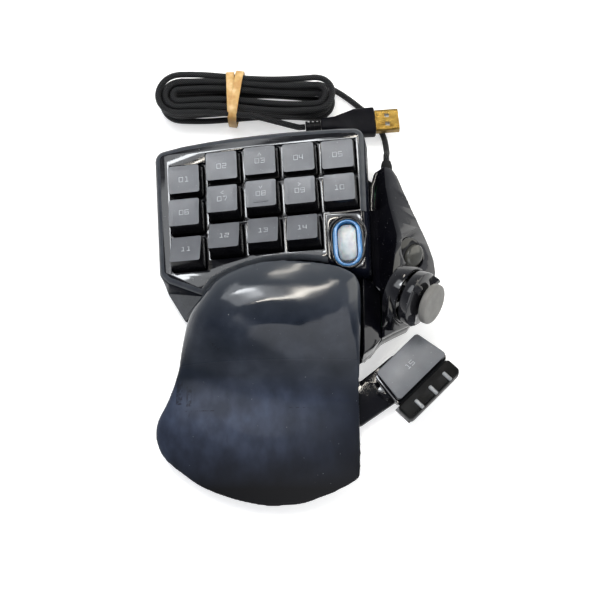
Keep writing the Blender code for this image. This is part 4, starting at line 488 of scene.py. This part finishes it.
# Plug
# USB plug: gold-plated steel shell with two latch windows, a pale contact tongue, a matte
# black overmould and a ribbed sleeve that keeps the cord from kinking.
MERGE_REACH = 0.01 * MM
FLAT_ANGLE = 0.5
EDGE_ANGLE = 38
SMOOTH_ANGLE = math.radians(30)


def dressed(material, *names):
    """Gives CAD pieces a finish."""
    for name in names:
        slots = nodes[name].data.materials
        if len(slots):
            slots[0] = material
        else:
            slots.append(material)


def moulded(name, dark, pale, roughness, grain, depth, shine=0.2):
    """Matte moulded plastic or rubber: fine spark-eroded grain and faint cloudy tone."""
    material = finish(name, dark, roughness, Specular_IOR_Level=shine)
    tree = material.node_tree
    shader = tree.nodes["Principled BSDF"]
    tone = graded(tree, patchy(tree, 180, 4), (0.35, dark), (0.70, pale))
    tree.links.new(tone, shader.inputs["Base Color"])
    fine = patchy(tree, grain, 2)
    tree.links.new(spread(tree, fine, roughness - 0.08, roughness + 0.08), shader.inputs["Roughness"])
    raised(tree, fine, 0.3, depth)
    return material


def plated(name, pale, dark):
    """Gold plating with fine lengthwise brushing and a few duller rubs."""
    material = finish(name, pale, 0.24, 1.0)
    tree = material.node_tree
    shader = tree.nodes["Principled BSDF"]
    tone = graded(tree, patchy(tree, 300, 4), (0.35, dark), (0.60, pale))
    tree.links.new(tone, shader.inputs["Base Color"])
    brush = patchy(tree, 700, 3, (0.2, 8, 8))
    tree.links.new(spread(tree, brush, 0.22, 0.48, 0.3, 0.7), shader.inputs["Roughness"])
    raised(tree, brush, 0.15, 0.02 * MM)
    return material


body_of = {node: body for body, members in record["behaviour"]["bodies"].items() for node in members}


def stands_for(piece, node, material=None):
    """Puts a finished piece in the place of a CAD node."""
    if material:
        piece.data.materials.clear()
        piece.data.materials.append(material)
    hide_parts(node)
    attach(piece, body_of[node])
    return piece


def alone(piece):
    """Selects one piece and makes it the active one."""
    bpy.ops.object.select_all(action="DESELECT")
    piece.select_set(True)
    bpy.context.view_layer.objects.active = piece


def copied(node, name, flat=FLAT_ANGLE):
    """A merged copy of a CAD piece, its flat faces made whole, ready to be finished by hand."""
    piece = nodes[node].copy()
    piece.data = nodes[node].data.copy()
    piece.name = name
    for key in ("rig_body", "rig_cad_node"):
        if key in piece:
            del piece[key]
    piece.parent = None
    bpy.context.collection.objects.link(piece)
    alone(piece)
    bpy.ops.object.mode_set(mode="EDIT")
    bpy.ops.mesh.select_all(action="SELECT")
    bpy.ops.mesh.remove_doubles(threshold=MERGE_REACH)
    if flat:
        bpy.ops.mesh.dissolve_limited(angle_limit=math.radians(flat))
    bpy.ops.object.mode_set(mode="OBJECT")
    return piece


def changed(piece, kind, **settings):
    """Adds one modifier to a piece and applies it."""
    alone(piece)
    modifier = piece.modifiers.new(kind.title(), kind)
    for setting, value in settings.items():
        setattr(modifier, setting, value)
    bpy.ops.object.modifier_apply(modifier=modifier.name)
    return piece


def edged(piece, width, segments=2, angle=EDGE_ANGLE):
    """Rounds a piece's edges, as a mould or wear leaves them."""
    changed(piece, "BEVEL", width=width, segments=segments, limit_method="ANGLE",
            angle_limit=math.radians(angle), use_clamp_overlap=True)
    bpy.ops.object.shade_smooth_by_angle(angle=SMOOTH_ANGLE)
    return piece


overmould = moulded("plug_overmould", (0.002, 0.002, 0.004), (0.006, 0.006, 0.008), 0.50, 3000,
                    0.03 * MM, 0.08)
sleeve_black = moulded("plug_sleeve", (0.005, 0.005, 0.006), (0.012, 0.012, 0.014), 0.45, 3000,
                       0.03 * MM, 0.1)
tongue_white = moulded("tongue_plastic", (0.62, 0.62, 0.60), (0.72, 0.72, 0.70), 0.40, 2500, 0.02 * MM)
plug_body = stands_for(edged(copied("plug_body", "plug_grip"), 0.8 * MM, 3, 25), "plug_body", overmould)
dressed(sleeve_black, "plug_relief")
dressed(plated("plug_gold", (0.22, 0.145, 0.035), (0.11, 0.065, 0.014)), "plug_shell")
dressed(tongue_white, "plug_tongue")

# Base, feet and screws
# Moulded plate that joins the modules from below, on four soft rubber feet. Three pan-head
# screws hold the key case to it.
base_plastic = moulded("base_plastic", (0.003, 0.004, 0.007), (0.006, 0.007, 0.011), 0.50, 2200,
                       0.04 * MM, 0.03)
foot_rubber = moulded("foot_rubber", (0.010, 0.010, 0.010), (0.020, 0.020, 0.020), 0.85, 1800,
                      0.05 * MM, 0.1)
dressed(base_plastic, "base_plate", "palm_tray", "palm_rail", "wheel_carrier")
dressed(foot_rubber, "foot_1", "foot_2", "foot_3", "foot_4", "palm_foot", "strain_relief")


def turned_steel(name):
    """Plain steel with fine turning marks."""
    material = finish(name, (0.55, 0.55, 0.56), 0.32, 1.0)
    tree = material.node_tree
    shader = tree.nodes["Principled BSDF"]
    marks = patchy(tree, 1400, 3, (1, 1, 6))
    tree.links.new(spread(tree, marks, 0.22, 0.48, 0.3, 0.7), shader.inputs["Roughness"])
    raised(tree, marks, 0.1, 0.02 * MM)
    return material


dressed(turned_steel("screw_steel"), "case_screw_1", "case_screw_2", "case_screw_3", "wheel_axle", "pad_yoke")

# Key module shells
# Gloss black ABS: the upper shell has one rounded well per key, and the lower wedge sets the
# slope. The gloss shows dust, wiped smudges and fine rub marks.
DECK = Matrix.LocRotScale(Vector((-20.4, 56.4, 32.0)) * MM,
                          Euler((math.radians(3.1), math.radians(-8.4), math.radians(2.4))), None)
# How far a shell face looks up, from 0 to 1: sides end at the first value, the rim at the second
SHELL_SIDES_TO = 0.66
SHELL_RIM_TO = 0.985


def gloss_black(name, dark=(0.004, 0.004, 0.006), pale=(0.010, 0.010, 0.012)):
    """Polished black plastic with smudges, fine scratches and specks of dust."""
    material = finish(name, dark, 0.08, Specular_IOR_Level=0.55)
    tree = material.node_tree
    shader = tree.nodes["Principled BSDF"]
    smudge = patchy(tree, 70, 5)
    tone = graded(tree, smudge, (0.35, dark), (0.75, pale))
    specks = spread(tree, patchy(tree, 950, 1), 0.0, 0.25, 0.745, 0.78)
    tree.links.new(blended(tree, specks, tone, (0.22, 0.22, 0.23)), shader.inputs["Base Color"])
    wiped = spread(tree, patchy(tree, 260, 4, (1, 7, 1)), 0.04, 0.12, 0.35, 0.80)
    rough = spread(tree, smudge, 0.0, 0.09, 0.40, 0.75)
    for more in (wiped, specks):
        rough = reckoned(tree, "ADD", rough, more)
    tree.links.new(rough, shader.inputs["Roughness"])
    raised(tree, patchy(tree, 420, 2), 0.04, 0.05 * MM)
    return material


def two_toned(piece, top, side, up, sides_to, rim=None, rim_to=1.0):
    """Gives faces that look up one finish, sides another and a sloped rim a third."""
    piece.data.materials.clear()
    for material in (top, side, rim) if rim else (top, side):
        piece.data.materials.append(material)
    for face in piece.data.polygons:
        facing = face.normal.dot(up)
        face.material_index = 1 if facing <= sides_to else 2 if rim and facing < rim_to else 0
    return piece


deck_up = DECK.to_3x3() @ Vector((0, 0, 1))
shell_gloss = gloss_black("shell_gloss")
# Painted sheen: the sloped rim faces of the shell are painted a lighter satin grey where the overhead light
# would reflect
shell_rim_sheen = moulded("shell_rim_sheen", (0.034, 0.038, 0.046), (0.050, 0.055, 0.064), 0.30, 2200, 0.01 * MM, 0.35)
skirt_black = moulded("skirt_black", (0.003, 0.004, 0.008), (0.006, 0.007, 0.012), 0.26, 2200,
                      0.01 * MM, 0.004)
key_shell = edged(copied("key_bezel", "key_shell"), 0.22 * MM)
two_toned(key_shell, shell_gloss, skirt_black, deck_up, SHELL_SIDES_TO, shell_rim_sheen, SHELL_RIM_TO)
stands_for(key_shell, "key_bezel")
stands_for(edged(copied("key_case", "key_wedge"), 0.5 * MM), "key_case", skirt_black)
dressed(moulded("board_mask", (0.02, 0.13, 0.06), (0.03, 0.18, 0.09), 0.40, 900, 0.02 * MM),
        "key_board", "thumb_board")
dressed(moulded("dome_rubber", (0.30, 0.31, 0.31), (0.38, 0.39, 0.39), 0.65, 1500, 0.04 * MM), "dome_sheet")

# Key caps
# Moulded black caps, hollow below on a square stem. Their tops carry a grey satin coat, its grey
# partly painted sheen of the overhead light, with a printed two-figure number, and four keys also
# have an arrow. One cap per row is made and copied.
KEY_PITCH = 19.05 * MM
KEY_BASE = 16.9 * MM
KEY_SKIRT = 3.0 * MM
KEY_LENGTH = 13.9 * MM
KEY_DRAFT = 0.10
KEY_DISH = 0.3 * MM
KEY_CORNER = 1.2 * MM
CAP_RIM = 0.35 * MM
CAP_WALL = 1.0 * MM
CAP_HOLLOW = 1.3 * MM
CAP_EDGE = 0.55 * MM
CAP_STEP = 0.1 * MM
DISH_SHARE = 0.80
STEM_SHARE = 0.50
STEM_LENGTH = 10.5 * MM
CAP_ANGLE = math.radians(40)
FACING = 0.9
CAP_SIDES_TO = 0.80
MIDDLE_COLUMN = 2
MIDDLE_ROW = 1
STAGGERS = (-5.9 * MM, -0.8 * MM, 0.0, -0.35 * MM, -0.8 * MM)
# Rows from far to near: keys, then near height, far height and shift of the top in mm
KEY_ROWS = ((5, 7.7, 8.4, -1.4), (5, 9.9, 8.4, 0.3), (4, 10.5, 4.9, 1.1))
ARROWS = {3: "^", 7: "<", 8: "v", 9: ">"}
# Strokes of the figures and arrows on a grid of 4 columns by 6 rows
FIGURE_COLUMNS = 4
FIGURE_ROWS = 6
STROKES = {
    "0": ((0, 0, 4, 0, 4, 6, 0, 6, 0, 0),),
    "1": ((0.8, 6, 2.6, 6, 2.6, 0), (0.6, 0, 4, 0)),
    "2": ((0, 6, 4, 6, 4, 3, 0, 3, 0, 0, 4, 0),),
    "3": ((0, 6, 4, 6, 4, 0, 0, 0), (1, 3, 4, 3)),
    "4": ((0, 6, 0, 2.4, 4, 2.4), (3.4, 6, 3.4, 0)),
    "5": ((4, 6, 0, 6, 0, 3, 4, 3, 4, 0, 0, 0),),
    "6": ((4, 6, 0, 6, 0, 0, 4, 0, 4, 3, 0, 3),),
    "7": ((0, 6, 4, 6, 4, 4, 2, 0),),
    "8": ((0, 0, 4, 0, 4, 6, 0, 6, 0, 0), (0, 3, 4, 3)),
    "9": ((4, 3, 0, 3, 0, 6, 4, 6, 4, 0, 0, 0),),
    "^": ((0.4, 1, 2, 4.4, 3.6, 1),), "v": ((0.4, 4.4, 2, 1, 3.6, 4.4),),
    "<": ((3.6, 0.6, 0.6, 2.7, 3.6, 4.8),), ">": ((0.4, 0.6, 3.4, 2.7, 0.4, 4.8),)}
FIGURE_CELL = 0.46 * MM
FIGURE_ROW = 0.38 * MM
FIGURE_GAP = 0.9 * MM
FIGURE_STROKE = 0.40 * MM
FIGURE_FLATNESS = 0.35
ARROW_LIFT = 1.1 * MM
# Raised bar on the home key: its key, size, edge and place on the cap
HOME_KEY = 8
HOME_BAR = (7.2 * MM, 0.8 * MM, 0.8 * MM)
HOME_BAR_EDGE = 0.3 * MM
HOME_BAR_PLACE = -4.3 * MM


def coat_and_sheen(name, coat):
    """Satin grey coat, its grey partly painted sheen of the overhead light, with fine grain, cloudy rub marks
    and a few pale specks.
    """
    material = finish(name, coat, 0.42, Specular_IOR_Level=0.5)
    tree = material.node_tree
    shader = tree.nodes["Principled BSDF"]
    worn, fresh = (tuple(part * share for part in coat) for share in (0.86, 1.12))
    tone = graded(tree, patchy(tree, 110, 4), (0.30, worn), (0.72, fresh))
    specks = spread(tree, patchy(tree, 1400, 1), 0.0, 0.5, 0.74, 0.78)
    tree.links.new(blended(tree, specks, tone, (0.40, 0.41, 0.42)), shader.inputs["Base Color"])
    tree.links.new(spread(tree, patchy(tree, 90, 3), 0.34, 0.50, 0.3, 0.7), shader.inputs["Roughness"])
    raised(tree, patchy(tree, 2600, 2), 0.22, 0.03 * MM)
    return material


def block(size, place=(0, 0, 0)):
    """A block at a place, its size and place in its mesh."""
    bpy.ops.object.select_all(action="DESELECT")
    bpy.ops.mesh.primitive_cube_add(size=1, location=place, scale=size)
    bpy.ops.object.transform_apply(location=True, rotation=True, scale=True)
    return bpy.context.active_object


def edit_faces(piece, way):
    """Opens a piece in edit mode with the faces selected that look up, or down for a way of -1."""
    bpy.ops.object.mode_set(mode="EDIT")
    bpy.ops.mesh.select_mode(type="FACE")
    bpy.ops.mesh.select_all(action="DESELECT")
    bpy.ops.object.mode_set(mode="OBJECT")
    for face in piece.data.polygons:
        face.select = face.normal.z * way > FACING
    bpy.ops.object.mode_set(mode="EDIT")


def cap_blank(name, near, far, shift):
    """Hollow cap of one row about its key's axis: drafted sides, sloped dished top, square stem."""
    middle = (near + far) / 2
    cap = block((KEY_BASE, KEY_BASE, middle + KEY_SKIRT), (0, 0, (middle - KEY_SKIRT) / 2))
    cap.name = name
    bpy.ops.object.mode_set(mode="EDIT")
    bpy.ops.mesh.select_mode(type="EDGE")
    bpy.ops.mesh.select_all(action="DESELECT")
    bpy.ops.object.mode_set(mode="OBJECT")
    for edge in cap.data.edges:
        low, high = (cap.data.vertices[i].co for i in edge.vertices)
        edge.select = abs(high.z - low.z) > KEY_SKIRT
    bpy.ops.object.mode_set(mode="EDIT")
    bpy.ops.mesh.bevel(offset=KEY_CORNER, segments=3)
    bpy.ops.object.mode_set(mode="OBJECT")
    slope = math.atan2(far - near, KEY_LENGTH)
    top_width = KEY_BASE - 2 * KEY_DRAFT * near
    edit_faces(cap, 1)
    bpy.ops.transform.resize(value=(top_width / KEY_BASE, KEY_LENGTH / math.cos(slope) / KEY_BASE, 1))
    bpy.ops.transform.translate(value=(0, shift, 0))
    bpy.ops.mesh.inset(thickness=CAP_RIM)
    bpy.ops.mesh.inset(thickness=CAP_STEP)
    bpy.ops.transform.resize(value=(DISH_SHARE, DISH_SHARE, 1))
    bpy.ops.transform.translate(value=(0, 0, -KEY_DISH))
    bpy.ops.object.mode_set(mode="OBJECT")
    tilt = (Matrix.Translation((0, shift, middle)) @ Matrix.Rotation(slope, 4, "X")
            @ Matrix.Translation((0, -shift, -middle)))
    for vert in cap.data.vertices:
        if vert.co.z > 0:
            vert.co = tilt @ vert.co
    edit_faces(cap, -1)
    bpy.ops.mesh.inset(thickness=CAP_WALL)
    bpy.ops.mesh.extrude_region_move(TRANSFORM_OT_translate={"value": (0, 0, KEY_SKIRT + CAP_HOLLOW)})
    bpy.ops.mesh.inset(thickness=CAP_STEP)
    bpy.ops.transform.resize(value=(STEM_SHARE, STEM_SHARE, 1))
    bpy.ops.mesh.extrude_region_move(TRANSFORM_OT_translate={"value": (0, 0, -STEM_LENGTH)})
    bpy.ops.object.mode_set(mode="OBJECT")
    changed(cap, "BEVEL", width=CAP_EDGE, segments=3, limit_method="ANGLE", angle_limit=CAP_ANGLE)
    bpy.ops.object.shade_smooth_by_angle(angle=CAP_ANGLE)
    return cap, slope


def figures(name, text, arrow=None):
    """Printed strokes of a number, centred, with an arrow above it."""
    curve = bpy.data.curves.new(name, "CURVE")
    curve.dimensions = "3D"
    curve.bevel_depth = FIGURE_STROKE / 2
    curve.bevel_resolution = 1
    curve.use_fill_caps = True
    wide = FIGURE_COLUMNS * FIGURE_CELL
    half_high = FIGURE_ROWS / 2 * FIGURE_ROW
    places = [(sign, (i - (len(text) - 1) / 2) * (wide + FIGURE_GAP) - wide / 2, -half_high)
              for i, sign in enumerate(text)]
    if arrow:
        places.append((arrow, -wide / 2, half_high + ARROW_LIFT))
    for sign, x, y in places:
        for stroke in STROKES[sign]:
            spline = curve.splines.new("POLY")
            spline.points.add(len(stroke) // 2 - 1)
            for point, u, v in zip(spline.points, stroke[::2], stroke[1::2]):
                point.co = (x + u * FIGURE_CELL, y + v * FIGURE_ROW, 0, 1)
    marks = bpy.data.objects.new(name, curve)
    bpy.context.collection.objects.link(marks)
    alone(marks)
    bpy.ops.object.convert(target="MESH")
    marks = bpy.context.active_object
    marks.scale = (1, 1, FIGURE_FLATNESS)
    bpy.ops.object.transform_apply(location=True, rotation=True, scale=True)
    return marks


def joined(piece, *others):
    """Joins other meshes, each with its own finish, into a piece."""
    alone(piece)
    for other in others:
        other.select_set(True)
    bpy.ops.object.join()
    return piece


def laid(piece, matrix):
    """Puts a piece in its place, with the place in its mesh."""
    piece.data.transform(matrix)
    piece.data.update()
    return piece


key_coat_and_sheen = coat_and_sheen("key_coat_and_sheen", (0.122, 0.128, 0.142))
key_side = moulded("key_side", (0.003, 0.003, 0.004), (0.006, 0.006, 0.007), 0.24, 2600, 0.01 * MM)
key_print = moulded("key_print", (0.36, 0.38, 0.40), (0.50, 0.52, 0.54), 0.50, 3000, 0.01 * MM)
number = 0
for row, (count, near, far, shift) in enumerate(KEY_ROWS):
    blank, slope = cap_blank(f"cap_blank_{row}", near * MM, far * MM, shift * MM)
    # Tops get the grey coat, painted lighter partly as sheen of the overhead light; sides keep the black
    # plastic
    two_toned(blank, key_coat_and_sheen, key_side, Vector((0, -math.sin(slope), math.cos(slope))), CAP_SIDES_TO)
    face_height = (near + far) / 2 * MM - KEY_DISH
    cap_face = Matrix.Translation((0, shift * MM, face_height)) @ Matrix.Rotation(slope, 4, "X")
    for column in range(count):
        number += 1
        cap = blank.copy()
        cap.data = blank.data.copy()
        cap.name = f"cap_{number:02d}"
        bpy.context.collection.objects.link(cap)
        marks = figures(f"print_{number:02d}", f"{number:02d}", ARROWS.get(number))
        marks.data.materials.append(key_print)
        extras = [laid(marks, cap_face)]
        if number == HOME_KEY:
            bar = edged(block(HOME_BAR), HOME_BAR_EDGE, 3)
            bar.data.materials.append(key_coat_and_sheen)
            extras.append(laid(bar, cap_face @ Matrix.Translation((0, HOME_BAR_PLACE, 0))))
        joined(cap, *extras)
        place = ((column - MIDDLE_COLUMN) * KEY_PITCH, STAGGERS[column] - (row - MIDDLE_ROW) * KEY_PITCH, 0)
        laid(cap, DECK @ Matrix.Translation(place))
        stands_for(cap, f"key_{number:02d}")
    bpy.data.objects.remove(blank, do_unlink=True)

# Scroll wheel
# Frosted white wheel with moulded ribs, on a steel axle in a bracket that clicks. A blue light
# guide rings it, inside a gloss plate and a raised lip on a gloss panel of its own.
WHEEL_PLACE = DECK @ Matrix.Translation((2.09 * KEY_PITCH, -1.38 * KEY_PITCH, 1.2 * MM))
LIP_WIDTH = 18.3 * MM
LIP_LENGTH = 27.4 * MM
LIP_THICK = 0.8 * MM
LIP_STEPS = 48
LIP_SIDES = 10
PANEL_SIDES_TO = 0.72


def clouded(name, low, high, roughness, scale, **sockets):
    """See-through plastic with faint clouds and fine grain."""
    material = finish(name, high, roughness, **sockets)
    tree = material.node_tree
    shader = tree.nodes["Principled BSDF"]
    tone = graded(tree, patchy(tree, scale, 4), (0.3, low), (0.7, high))
    tree.links.new(tone, shader.inputs["Base Color"])
    raised(tree, patchy(tree, 1800, 2), 0.1, 0.04 * MM)
    return material


frosted = clouded("frosted_wheel", (0.42, 0.47, 0.50), (0.60, 0.63, 0.64), 0.32, 300,
                  Subsurface_Weight=0.35, Subsurface_Scale=0.004)
guide = clouded("light_guide", (0.03, 0.12, 0.30), (0.10, 0.26, 0.50), 0.22, 250,
                Emission_Color=(0.06, 0.26, 0.62, 1), Emission_Strength=0.10)
stands_for(edged(copied("scroll_wheel", "ribbed_wheel"), 0.2 * MM), "scroll_wheel", frosted)
stands_for(edged(copied("wheel_light_ring", "glow_ring"), 0.15 * MM), "wheel_light_ring", guide)
stands_for(edged(copied("wheel_surround", "wheel_plate"), 0.15 * MM), "wheel_surround", shell_gloss)
gloss_panel = edged(copied("wheel_panel", "gloss_panel"), 0.25 * MM)
stands_for(two_toned(gloss_panel, shell_gloss, skirt_black, deck_up, PANEL_SIDES_TO), "wheel_panel")
bpy.ops.object.select_all(action="DESELECT")
bpy.ops.mesh.primitive_torus_add(major_radius=LIP_WIDTH / 2, minor_radius=LIP_THICK / 2,
                                 major_segments=LIP_STEPS, minor_segments=LIP_SIDES)
lip = bpy.context.active_object
lip.name = "panel_lip"
for side in (1, -1):
    for vert in lip.data.vertices:
        vert.select = vert.co.y * side > 0.001 * MM
    bpy.ops.object.mode_set(mode="EDIT")
    bpy.ops.transform.translate(value=(0, side * (LIP_LENGTH - LIP_WIDTH) / 2, 0))
    bpy.ops.mesh.select_mode(type="VERT")
    bpy.ops.mesh.select_all(action="DESELECT")
    bpy.ops.object.mode_set(mode="OBJECT")
bpy.ops.object.shade_smooth()
lip.data.materials.append(shell_gloss)
laid(lip, WHEEL_PLACE)
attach(lip, "base")

# Palm rest
# One moulded shell with a soft-touch lacquer, high at the back and nearly flat in front. Hands
# have given the hump a polish, and it is also painted lighter as sheen of the ceiling light. The flat
# part shows scuffs, a long scratch and a painted bluish reflection, darker towards the right and
# the front edge.
PALM_VOXEL = 0.6 * MM
PALM_PASSES = 44
# Stretches in mm over which the painted sheen and reflection, their darkening and the gloss change, along Y
# and for the last one along X
PALM_CREST = (-8, 18)
PALM_VALLEY = (-30, -40)
PALM_TOE = (-50, -82)
PALM_SHINE = (-36, -10)
PALM_MATTE = (-34, -8)
PALM_SHADE = (-30, 26)
# Scratches and scuffs of the lacquer: left, right, near and far edges in mm, and how dark they are
PALM_MARKS = (
    (-57.5, -43.0, -46.4, -45.8, 1.0), (-55.6, -54.8, -50.0, -42.5, 1.0), (-62.0, -58.5, -43.0, -30.0, 0.8),
    (-57.0, -54.0, -44.0, -34.0, 0.7), (-8.0, 6.0, -44.8, -44.3, 0.8), (-16.0, 8.0, -9.4, -8.9, 0.5))
# Widths in mm over which a mark fades out at its sides and at its ends
MARK_SIDE = 0.5
MARK_END = 0.15


def zone(tree, axis, start, stop):
    """Share from 0 to 1 along one axis of a piece's own coordinates."""
    place = make(tree, "TexCoord")
    apart = make(tree, "SeparateXYZ")
    tree.links.new(place.outputs["Object"], apart.inputs[0])
    return spread(tree, apart.outputs[axis], 0.0, 1.0, start * MM, stop * MM)


def soft_touch(name):
    """Soft-touch lacquer: navy-black, the hump glossier and painted lighter as sheen, a painted bluish
    reflection in front that gets darker towards the right and the front edge, scuffs and specks.
    """
    material = finish(name, (0.020, 0.024, 0.034), 0.34)
    tree = material.node_tree
    link = tree.links.new
    shader = tree.nodes["Principled BSDF"]
    base = graded(tree, patchy(tree, 60, 6), (0.30, (0.005, 0.008, 0.014)), (0.55, (0.014, 0.018, 0.028)),
                  (0.75, (0.030, 0.036, 0.050)))
    # Painted sheen: the hump is painted lighter where the ceiling light would reflect
    hump_sheen = blended(tree, zone(tree, "Y", *PALM_CREST), base, (0.048, 0.054, 0.064))
    # Painted reflection: patchy bluish colour on the flat front, darker towards the right and towards the
    # front edge
    front_reflection = graded(tree, patchy(tree, 125, 9, (1.0, 0.60, 1.0)), (0.34, (0.020, 0.026, 0.044)),
                   (0.50, (0.030, 0.039, 0.066)), (0.68, (0.044, 0.057, 0.096)))
    rightward = zone(tree, "X", *PALM_SHADE)
    shade = reckoned(tree, "MULTIPLY", rightward, rightward)
    front_reflection = blended(tree, shade, front_reflection, (0.004, 0.006, 0.012))
    front_reflection = blended(tree, zone(tree, "Y", *PALM_TOE), front_reflection, (0.003, 0.003, 0.004))
    skin = blended(tree, zone(tree, "Y", *PALM_VALLEY), hump_sheen, front_reflection)
    link(spread(tree, zone(tree, "Y", *PALM_SHINE), 0.16, 0.45), shader.inputs["Specular IOR Level"])
    scuff = spread(tree, patchy(tree, 120, 4, (1.0, 0.25, 1.0)), 0.0, 0.7, 0.68, 0.76)
    scuffed = blended(tree, scuff, skin, (0.008, 0.009, 0.014))
    for west, east, south, north, depth in PALM_MARKS:
        mark = zone(tree, "X", west, west + MARK_SIDE)
        for axis, edge, fade in (("X", east, -MARK_SIDE), ("Y", south, MARK_END), ("Y", north, -MARK_END)):
            mark = reckoned(tree, "MULTIPLY", mark, zone(tree, axis, edge, edge + fade))
        broken = spread(tree, patchy(tree, 500, 3), 0.0, depth, 0.40, 0.58)
        scuffed = blended(tree, reckoned(tree, "MULTIPLY", mark, broken), scuffed, (0.006, 0.007, 0.012))
    specks = spread(tree, patchy(tree, 900, 1), 0.0, 0.45, 0.795, 0.82)
    link(blended(tree, specks, scuffed, (0.34, 0.36, 0.38)), shader.inputs["Base Color"])
    worn = spread(tree, patchy(tree, 60, 5), 0.10, 0.16, 0.3, 0.7)
    matte = spread(tree, zone(tree, "Y", *PALM_MATTE), 0.44, 0.0)
    link(reckoned(tree, "MAXIMUM", worn, matte), shader.inputs["Roughness"])
    raised(tree, patchy(tree, 1600, 2), 0.12, 0.03 * MM)
    return material


palm = changed(copied("palm_rest", "palm_shell", 0), "REMESH", mode="VOXEL", voxel_size=PALM_VOXEL)
changed(palm, "SMOOTH", factor=0.5, iterations=PALM_PASSES)
bpy.ops.object.shade_smooth()
stands_for(palm, "palm_rest", soft_touch("palm_lacquer"))

# Thumb module
# Gloss black shells with an eight-way pad on two tilting axes, a stick with a round grey cap,
# an egg-shaped button and a dark window beside it. A strap reaches out to key 15.
wing_gloss = gloss_black("wing_gloss", (0.003, 0.003, 0.005), (0.008, 0.008, 0.010))
pad_gloss = gloss_black("pad_gloss", (0.006, 0.006, 0.008), (0.016, 0.016, 0.018))
window_gloss = gloss_black("window_gloss", (0.002, 0.002, 0.003), (0.005, 0.005, 0.006))
button_gloss = gloss_black("button_gloss", (0.040, 0.040, 0.036), (0.066, 0.066, 0.060))
cap_grey = moulded("cap_grey", (0.145, 0.142, 0.134), (0.19, 0.186, 0.176), 0.45, 2200, 0.04 * MM)
# CAD node, name, width of the rounded edges in mm and finish of each piece
for node, name, width, material in (
        ("thumb_wing", "wing_shell", 0.45, wing_gloss), ("side_cover", "side_panel", 0.35, wing_gloss),
        ("thumb_base", "thumb_shell", 0.40, wing_gloss), ("thumb_arm", "arm_strap", 0.50, wing_gloss),
        ("pad_housing", "pad_cup", 0.35, pad_gloss), ("thumb_pad", "pad_disc", 0.30, pad_gloss),
        ("thumb_stick", "stick_post", 0.20, pad_gloss), ("stick_cap", "stick_button", 0.35, cap_grey),
        ("status_lens", "dark_window", 0.20, window_gloss),
        ("mode_button", "egg_button", 0.20, button_gloss)):
    stands_for(edged(copied(node, name), width * MM), node, material)

# Key 15 and its grip
# Long thumb key with the same grey coat and partly painted sheen, in a gloss tray on the strap. A
# rubber bar with three pale ribs runs along its outer side.
KEY_15_TURN = Euler((math.radians(-5), 0, math.radians(44.5)))
KEY_15 = Matrix.LocRotScale(Vector((49.9, -23.5, 19.0)) * MM, KEY_15_TURN, None)
RIB_COUNT = 3
RIB_PITCH = 9.6 * MM
RIB_SIZE = (1.9 * MM, 5.4 * MM, 1.5 * MM)
RIB_EDGE = 0.6 * MM
RIB_START = -0.85 * MM - RIB_PITCH
RIB_SIDE = -16.3 * MM
RIB_DROP = -2.2 * MM
long_key = two_toned(edged(copied("key_15", "long_key"), 0.35 * MM), key_coat_and_sheen, key_side,
                     KEY_15.to_3x3() @ Vector((0, 0, 1)), CAP_SIDES_TO)
marks = figures("print_15", "15")
marks.data.materials.append(key_print)
stands_for(joined(long_key, laid(marks, KEY_15)), "key_15")
stands_for(edged(copied("key_15_frame", "key_tray"), 0.35 * MM), "key_15_frame", shell_gloss)
grip_rubber = moulded("grip_rubber", (0.005, 0.005, 0.005), (0.011, 0.011, 0.011), 0.38, 2000,
                      0.03 * MM, 0.06)
rib_pale = moulded("rib_pale", (0.22, 0.23, 0.24), (0.30, 0.31, 0.32), 0.40, 2000, 0.02 * MM)
grip = edged(copied("thumb_grip", "rubber_grip"), 0.30 * MM)
grip.data.materials.clear()
grip.data.materials.append(grip_rubber)
ribs = []
for index in range(RIB_COUNT):
    rib = edged(block(RIB_SIZE), RIB_EDGE, 3)
    rib.data.materials.append(rib_pale)
    place = (RIB_START + index * RIB_PITCH, RIB_SIDE, RIB_DROP)
    ribs.append(laid(rib, KEY_15 @ Matrix.Translation(place)))
stands_for(joined(grip, *ribs), "thumb_grip")
